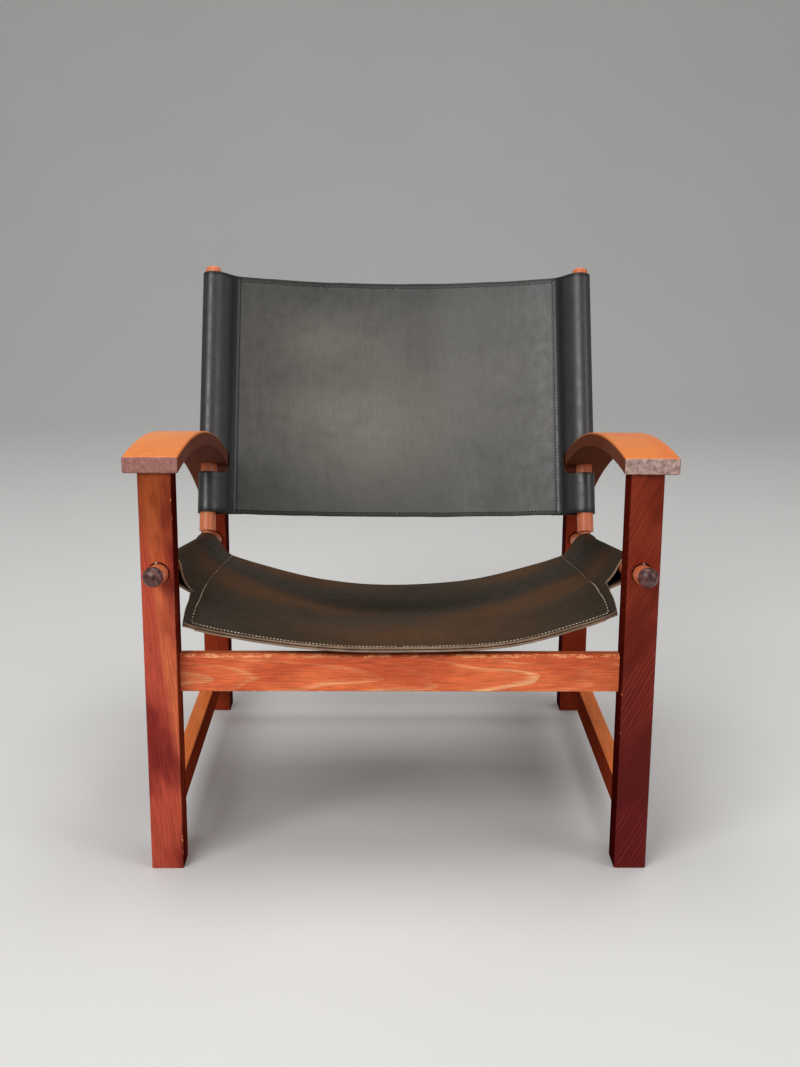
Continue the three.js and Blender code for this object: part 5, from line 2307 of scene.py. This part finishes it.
@dataclass
class BackSling(Sling):
    """The back: a sleeve round each post, cut out where the arms pass."""

    line: RodLine = POSTS
    name: str = "back_leather_sheet"
    node: str = "back_sling"
    slot: Slot = Slot.BACK
    hide: Hides = Hides.BACK
    low: float = 0.050
    high: float = 0.4435
    depth: float = 0.043
    seam_inset: float = 0.043
    seam_drop: float = 0.012
    bow: float = 2.1
    cut_low: float = 0.014
    cut_high: float = 0.005
    cut_in: float = 0.0025
    cut_in_behind: float = 0.0005
    cut_round: float = 0.012
    low_hem_seam: float = 0.006
    high_hem_seam: float = 0.0075
    scuff: float = 0.145

    # Spots of rubbing; the two largest also paint a soft sheen across the middle.
    WORN = (
        Spot(-0.04, 0.19, 0.13, 0.095, 0.48), Spot(-0.13, 0.34, 0.10, 0.045, 0.28),
        Spot(0.08, 0.30, 0.15, 0.10, 0.14), Spot(-0.13, 0.23, 0.08, 0.04, 0.14),
        Spot(0.17, 0.22, 0.08, 0.12, 0.05),
    )
    DARK = (
        Spot(0.13, 0.15, 0.035, 0.022, 0.14), Spot(-0.20, 0.12, 0.025, 0.03, 0.14),
        Spot(0.19, 0.24, 0.04, 0.015, 0.12), Spot(0.10, 0.33, 0.08, 0.012, 0.10),
        Spot(-0.22, 0.35, 0.05, 0.05, 0.22), Spot(0.18, 0.35, 0.08, 0.03, 0.10),
    )
    PLACES = (0, 0.2, 0.4, 0.6, 0.8, 1)
    DEPTHS = (0.72, 0.8, 0.87, 0.93, 0.97, 1)
    SEAMS = (0.75, 0.8, 0.85, 0.9, 0.95, 1)

    def section(self, side: Side, s: float) -> SideSection:
        """Give one side's section.

        Args:
            side: The side of the chair.
            s: The length along the posts.

        Returns:
            The section.
        """
        place = (s - self.low) / (self.high - self.low)
        return SideSection(
            inner=self.line.radius + GAP,
            depth=self.depth * table_at(self.PLACES, self.DEPTHS, place),
            seam_drop=self.seam_drop * table_at(self.PLACES, self.SEAMS, place),
            seam_x=self.seam_at(s),
            bow=self.bow,
            loose=1.0,
        )

    def rows(self) -> list[float]:
        """Even rows from the lower hem to the upper one."""
        count = round((self.high - self.low) / self.row_step)
        return [lerp(self.low, self.high, step / count) for step in range(count + 1)]

    def relief(self, x: float, s: float) -> float:
        """Lift the leather along soft ripples that hang between the posts."""
        fade = smooth(0.255, 0.20, abs(x))
        return fade * 0.0014 * noise.noise(Vector((x * 14, s * 4, 2.4)))

    def edge_shift(self, x: float, s: float) -> float:
        """Let both hems wander a little along the posts."""
        near = 1 - smooth(0, 0.03, min(s - self.low, self.high - s))
        return near * 0.0008 * noise.noise(Vector((x * 24, 3.7, s)))

    def meets_arm(self, below_top: float) -> float:
        """Find where the axis of a post meets a layer of the arm.

        Args:
            below_top: How far the layer lies under the arm's top face.

        Returns:
            The length from the foot.
        """
        s = 0.0
        for _ in range(30):
            point = self.line.at(0, s)
            s += (BOW.height_at(point.y - FRONT_Y, below_top) - point.z) * self.line.along.z
        return s

    def cut_outline(self, side: Side, clear: float) -> list[Vector]:
        """Give the outline of one arm's cut-out, in x and s.

        Args:
            side: The side of the chair.
            clear: How far inside the arm's inner face it reaches.

        Returns:
            Its points, from the outer lower corner round the two rounded inner ones.
        """
        low = self.meets_arm(BOW.thick) - self.cut_low
        high = self.meets_arm(0.0) + self.cut_high
        inner = BOW.x - BOW.width / 2 - clear
        outer = LEGS.span / 2 + BOW.width
        corner, steps = self.cut_round, 6
        points = [Vector((outer, low))]
        for height, first in ((low + corner, -math.pi / 2), (high - corner, math.pi)):
            for step in range(steps + 1):
                angle = first - math.pi / 2 * step / steps
                points.append(Vector((inner + corner, height)) + turned(angle, corner))
        points.append(Vector((outer, high)))
        return [Vector((side.value * point.x, point.y)) for point in points]

    def trim(self, bm: BMesh) -> None:
        """Cut out what the arms pass through, closer to the arms in the layer behind the posts.

        Args:
            bm: The sheet.
        """
        start = self.line.at(0, 0)
        reach = 0.008
        behind = bm.faces.layers.int[BEHIND_LAYER]

        def flat(face: BMFace) -> Vector:
            """A face's place in x and s."""
            point = face.calc_center_median()
            return Vector((point.x, (point - start).dot(self.line.along)))

        for side in Side:
            for is_behind, clear in enumerate((self.cut_in, self.cut_in_behind)):
                outline = self.cut_outline(side, clear)
                around = [
                    face for face in bm.faces
                    if face[behind] == is_behind and self._near(flat(face), outline)
                ]
                for a, b in zip(outline, outline[1:]):
                    middle, half = (a + b) / 2, (b - a).length / 2 + reach
                    near = [face for face in around if (flat(face) - middle).length < half]
                    parts = {item for face in near for item in (face, *face.edges, *face.verts)}
                    across = Vector((b - a).yx) * Vector((1, -1))
                    normal = Vector((across.x, 0, 0)) + across.y * self.line.along
                    done = bmesh.ops.bisect_plane(
                        bm, geom=list(parts), plane_co=self.line.at(a.x, a.y), plane_no=normal
                    )
                    around = list({*(face for face in around if face.is_valid),
                                   *(item for item in done["geom"] if isinstance(item, BMFace))})
                inside = [face for face in around if within(flat(face), outline)]
                bmesh.ops.delete(bm, geom=inside, context="FACES")

    @staticmethod
    def _near(point: Vector, outline: Sequence[Vector]) -> bool:
        """Tell whether a place lies inside or close to an outline.

        Args:
            point: The place, in x and s.
            outline: The points of the outline.

        Returns:
            Whether it does.
        """
        margin = 0.02
        xs, ys = [p.x for p in outline], [p.y for p in outline]
        near_x = min(xs) - margin < point.x < max(xs) + margin
        return near_x and min(ys) - margin < point.y < max(ys) + margin

    def masks(self, x: float, s: float) -> tuple[float, float]:
        """Rub the back evenly between its seams and more in the middle, where a painted sheen is added;
        darken its hems and a few spots, and paint shade in the valley between each seam and its post.

        Args:
            x: How far right of the middle.
            s: The length along the posts.

        Returns:
            How much rubbing with painted sheen it has there, and how much shade.
        """
        between = 1 - smooth(0.2535, 0.2550, abs(x))
        under_hem = lerp(0.6, 1.0, smooth(0.012, 0.055, self.high - s))
        # Pale rubbing, which in the middle also paints the sheen of a soft reflection.
        rubbed_and_sheen = between * under_hem * (self.scuff + spotted(self.WORN, x, s))
        hem = 1 - smooth(0.0055, 0.0075, min(s - self.low, self.high - s))
        # Painted shade in the valley between each seam and its post.
        valley = smooth(0.2570, 0.2605, abs(x)) * (1 - smooth(0.266, 0.277, abs(x)))
        return min(1.0, rubbed_and_sheen), max(0.6 * hem, 0.85 * valley, between * spotted(self.DARK, x, s))


def within(point: Vector, outline: Sequence[Vector]) -> bool:
    """Tell whether a point of the plane lies inside an outline.

    Args:
        point: The point.
        outline: The outline's corners.

    Returns:
        Whether it is inside.
    """
    inside = False
    for a, b in zip(outline, [*outline[1:], outline[0]]):
        if (a.y > point.y) != (b.y > point.y):
            inside ^= point.x < a.x + (point.y - a.y) / (b.y - a.y) * (b.x - a.x)
    return inside


@dataclass
class SewnThread:
    """The stitches of one sling, each a short capsule."""

    name: str
    thread: Threads
    slot: Slot
    pitch: float
    length_share: float = 0.66
    thick: float = 0.0014
    from_hem: float = 0.004
    bm: BMesh = field(default_factory=bmesh.new)

    def __post_init__(self) -> None:
        """Make the capsule that every stitch repeats."""
        capsule = bmesh.new()
        bmesh.ops.create_uvsphere(capsule, u_segments=8, v_segments=5, radius=1.0)
        capsule.verts.index_update()
        self.capsule_points = [vert.co.copy() for vert in capsule.verts]
        self.capsule_faces = [[vert.index for vert in face.verts] for face in capsule.faces]
        capsule.free()

    def stitch(self, point: Vector, along: Vector, outward: Vector) -> None:
        """Lay one stitch on the leather.

        Args:
            point: Its middle.
            along: The direction that it runs in.
            outward: The direction off the leather.
        """
        across = along.cross(outward).normalized()
        out = across.cross(along)
        basis = Matrix((across, along, out)).transposed().to_4x4()
        size = Matrix.Diagonal((self.thick / 2, self.pitch * self.length_share / 2, self.thick / 2, 1))
        place = Matrix.Translation(point) @ basis @ size @ Matrix.Rotation(math.pi / 2, 4, "X")
        verts = [self.bm.verts.new(place @ corner) for corner in self.capsule_points]
        for corners in self.capsule_faces:
            self.bm.faces.new([verts[corner] for corner in corners])

    def run(self, sling: Sling, places: Iterable[tuple[Side, float, float]], across: bool = False) -> None:
        """Sew a run of stitches.

        Args:
            sling: The leather.
            places: The side, the column and the length along the rods of each stitch.
            across: Whether the run goes across the rods rather than along them.
        """
        for side, column, s in places:
            point, along, outward = sling.surface(side, column, s, 0.0 if across else -sling.sink(s))
            self.stitch(point, along.cross(outward) if across else along, outward)

    def finish(self) -> bpy.types.Object:
        """Turn the stitches into one dressed piece.

        Returns:
            The piece.
        """
        shade_round(self.bm)
        piece = new_object(self.name, self.bm, [self.thread.value.material()])
        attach(piece, "root")
        return piece


def seam_run(sling: Sling, start: float, end: float, pitch: float) -> list[tuple[Side, float, float]]:
    """List the stitches along both seams of a sling.

    Args:
        sling: The leather.
        start: Where the seams start, along the rods.
        end: Where they end.
        pitch: The length of a stitch and its gap.

    Returns:
        The side, the column and the length along the rods of each.
    """
    count = round((end - start) / pitch)
    column = sling.columns.sleeve
    return [(side, column, start + (index + 0.5) * pitch) for side in Side for index in range(count)]


def hem_run(sling: Sling, s: float, pitch: float) -> list[tuple[Side, float, float]]:
    """List the stitches along a hem of a sling.

    Args:
        sling: The leather.
        s: Where the hem's stitches lie along the rods.
        pitch: The length of a stitch and its gap.

    Returns:
        The side, the column and the length along the rods of each.
    """
    places = []
    for side in Side:
        lengths = lengths_along(sling.half_path(side, s)[sling.columns.sleeve:])
        for index in range(int(lengths[-1] / pitch)):
            target = (index + 0.5) * pitch
            step = next(i for i in range(1, len(lengths)) if lengths[i] >= target)
            share = (target - lengths[step - 1]) / (lengths[step] - lengths[step - 1])
            places.append((side, sling.columns.sleeve + step - 1 + share, s))
    return places


# The studio


@dataclass
class Studio:
    """A pale floor that curves up into a backdrop, soft lamps, and the camera."""

    reach: float = 9.0
    sweep_start: float = 3.2
    sweep_radius: float = 2.2
    wall_top: float = 7.0
    tone: Colour = (0.66, 0.65, 0.63)
    aim_height: float = 0.4

    def build(self) -> None:
        """Set up everything round the chair."""
        self._backdrop()
        self._lamps()
        self._world()
        self._camera()
        view = bpy.context.scene.view_settings
        view.view_transform = "Standard"

    def _backdrop(self) -> None:
        """Sweep the floor's outline across the studio."""
        outline, steps = [(-self.reach, 0.0), (self.sweep_start, 0.0)], 16
        for step in range(1, steps + 1):
            corner = turned(-math.pi / 2 + math.pi / 2 * step / steps, self.sweep_radius)
            outline.append((self.sweep_start + corner.x, self.sweep_radius + corner.y))
        outline.append((self.sweep_start + self.sweep_radius, self.wall_top))
        bm = bmesh.new()
        verts = [bm.verts.new((-self.reach, y, z)) for y, z in outline]
        edges = [bm.edges.new(pair) for pair in zip(verts, verts[1:])]
        swept = bmesh.ops.extrude_edge_only(bm, edges=edges)["geom"]
        moved = [item for item in swept if isinstance(item, BMVert)]
        bmesh.ops.translate(bm, vec=(2 * self.reach, 0, 0), verts=moved)
        shade_round(bm)
        material, w, shader = new_material("studio_floor")
        place = w.add("ShaderNodeTexCoord").outputs["Object"]
        tint = w.rise(w.noise(place, 1.5, 2.0), 0.3, 0.7)
        darker = tuple(0.98 * part for part in self.tone)
        w.put(shader.inputs["Base Color"], w.mix(tint, self.tone, darker))
        shader.inputs["Roughness"].default_value = 0.85
        floor = new_object("studio_floor", bm, [material])

    def _lamps(self) -> None:
        """Hang a large soft lamp on the left in front, a smaller one on the right and one above."""
        lamps = (
            ("key", (-1.7, -2.7, 2.6), 2.0, 80.0),
            ("fill", (2.8, -2.0, 2.0), 1.6, 26.0),
            ("top", (0.1, 0.4, 3.4), 2.6, 66.0),
        )
        for name, place, size, power in lamps:
            data = bpy.data.lights.new(f"{name}_lamp", "AREA")
            data.shape = "SQUARE"
            data.size = size
            data.energy = power
            lamp = bpy.data.objects.new(f"{name}_lamp", data)
            lamp.location = place
            aim = Vector((0, 0, self.aim_height)) - Vector(place)
            lamp.rotation_euler = aim.to_track_quat("-Z", "Y").to_euler()
            bpy.context.scene.collection.objects.link(lamp)

    def _world(self) -> None:
        """Light the studio evenly from all round."""
        world = bpy.data.worlds.new("studio")
        world.use_nodes = True
        backdrop = world.node_tree.nodes["Background"]
        backdrop.inputs["Color"].default_value = (0.95, 0.97, 1.0, 1)
        backdrop.inputs["Strength"].default_value = 0.3
        bpy.context.scene.world = world

    def _camera(self) -> None:
        """Stand the camera where the photograph was taken from."""
        image_height, focal = 1067, 1394.6
        sensor = 36.0
        pitch, yaw, roll = (math.radians(angle) for angle in (13.634, 0.788, 0.335))
        data = bpy.data.cameras.new("photo_view")
        data.sensor_width = sensor
        data.lens = focal / image_height * sensor
        camera = bpy.data.objects.new("photo_view", data)
        level_share = math.cos(pitch)
        forward = Vector((math.sin(yaw) * level_share, math.cos(yaw) * level_share, -math.sin(pitch)))
        level = Vector((math.cos(yaw), -math.sin(yaw), 0))
        upward = level.cross(forward)
        right = level * math.cos(roll) + upward * math.sin(roll)
        up = upward * math.cos(roll) - level * math.sin(roll)
        place = Matrix((right, up, -forward)).transposed().to_4x4()
        place.translation = (-0.02433, -1.65571 + FRONT_Y, 0.84837)
        camera.matrix_world = place
        bpy.context.scene.collection.objects.link(camera)
        bpy.context.scene.camera = camera


def build_frame(shop: WoodShop) -> None:
    """Build every wooden piece.

    Args:
        shop: What makes the wood.
    """
    makers = [Leg(side, end) for side in Side for end in End]
    makers += [Stretcher(end) for end in End]
    for side in Side:
        makers += [SideStretcher(side), Arm(side), SeatRail(side), BackPost(side)]
    for maker in makers:
        piece = maker.build(shop)
        LOG.info("%s: %d faces", piece.name, len(piece.data.polygons))
    for side in Side:
        for end in End:
            node = bpy.data.objects[f"{end.value}_arm_dowel_{side.label}"]
            for slot in node.material_slots:
                slot.material = shop.material(Woods.DOWEL)


def build_slings(effects: SharedEffects) -> None:
    """Args:
        effects: The shared node groups.
    """
    seat, back = SeatSling(), BackSling()
    seat_piece, back_piece = seat.build(effects), back.build(effects)
    cream = SewnThread("seat_stitches", Threads.CREAM, Slot.SEAT, pitch=0.0045)
    cream.run(seat, seam_run(seat, seat.front + cream.from_hem, seat.rear - cream.from_hem, cream.pitch))
    cream.run(seat, hem_run(seat, seat.front + seat.hem_seam, cream.pitch), across=True)
    black = SewnThread("back_stitches", Threads.BLACK, Slot.BACK, pitch=0.0053, thick=0.0016)
    black.run(back, seam_run(back, back.low + black.from_hem, back.high - black.from_hem, black.pitch))
    black.run(back, hem_run(back, back.low + back.low_hem_seam, black.pitch), across=True)
    black.run(back, hem_run(back, back.high - back.high_hem_seam, black.pitch), across=True)
    strip = seat.build_strip(seat_piece)
    for sling, piece, thread, rods, others in (
        (seat, seat_piece, cream, "seat_rail", [strip]), (back, back_piece, black, "back_post", []),
    ):
        stitches = thread.finish()
        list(others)
        LOG.info("%s: %d faces", stitches.name, len(stitches.data.polygons))


def main() -> None:
    """Build the chair and the studio."""
    logging.basicConfig(level=logging.INFO, format="%(name)s: %(message)s")
    effects = SharedEffects()
    Studio().build()
    build_frame(WoodShop(effects))
    build_slings(effects)
    bpy.context.view_layer.update()


if __name__ == "__main__":
    main()
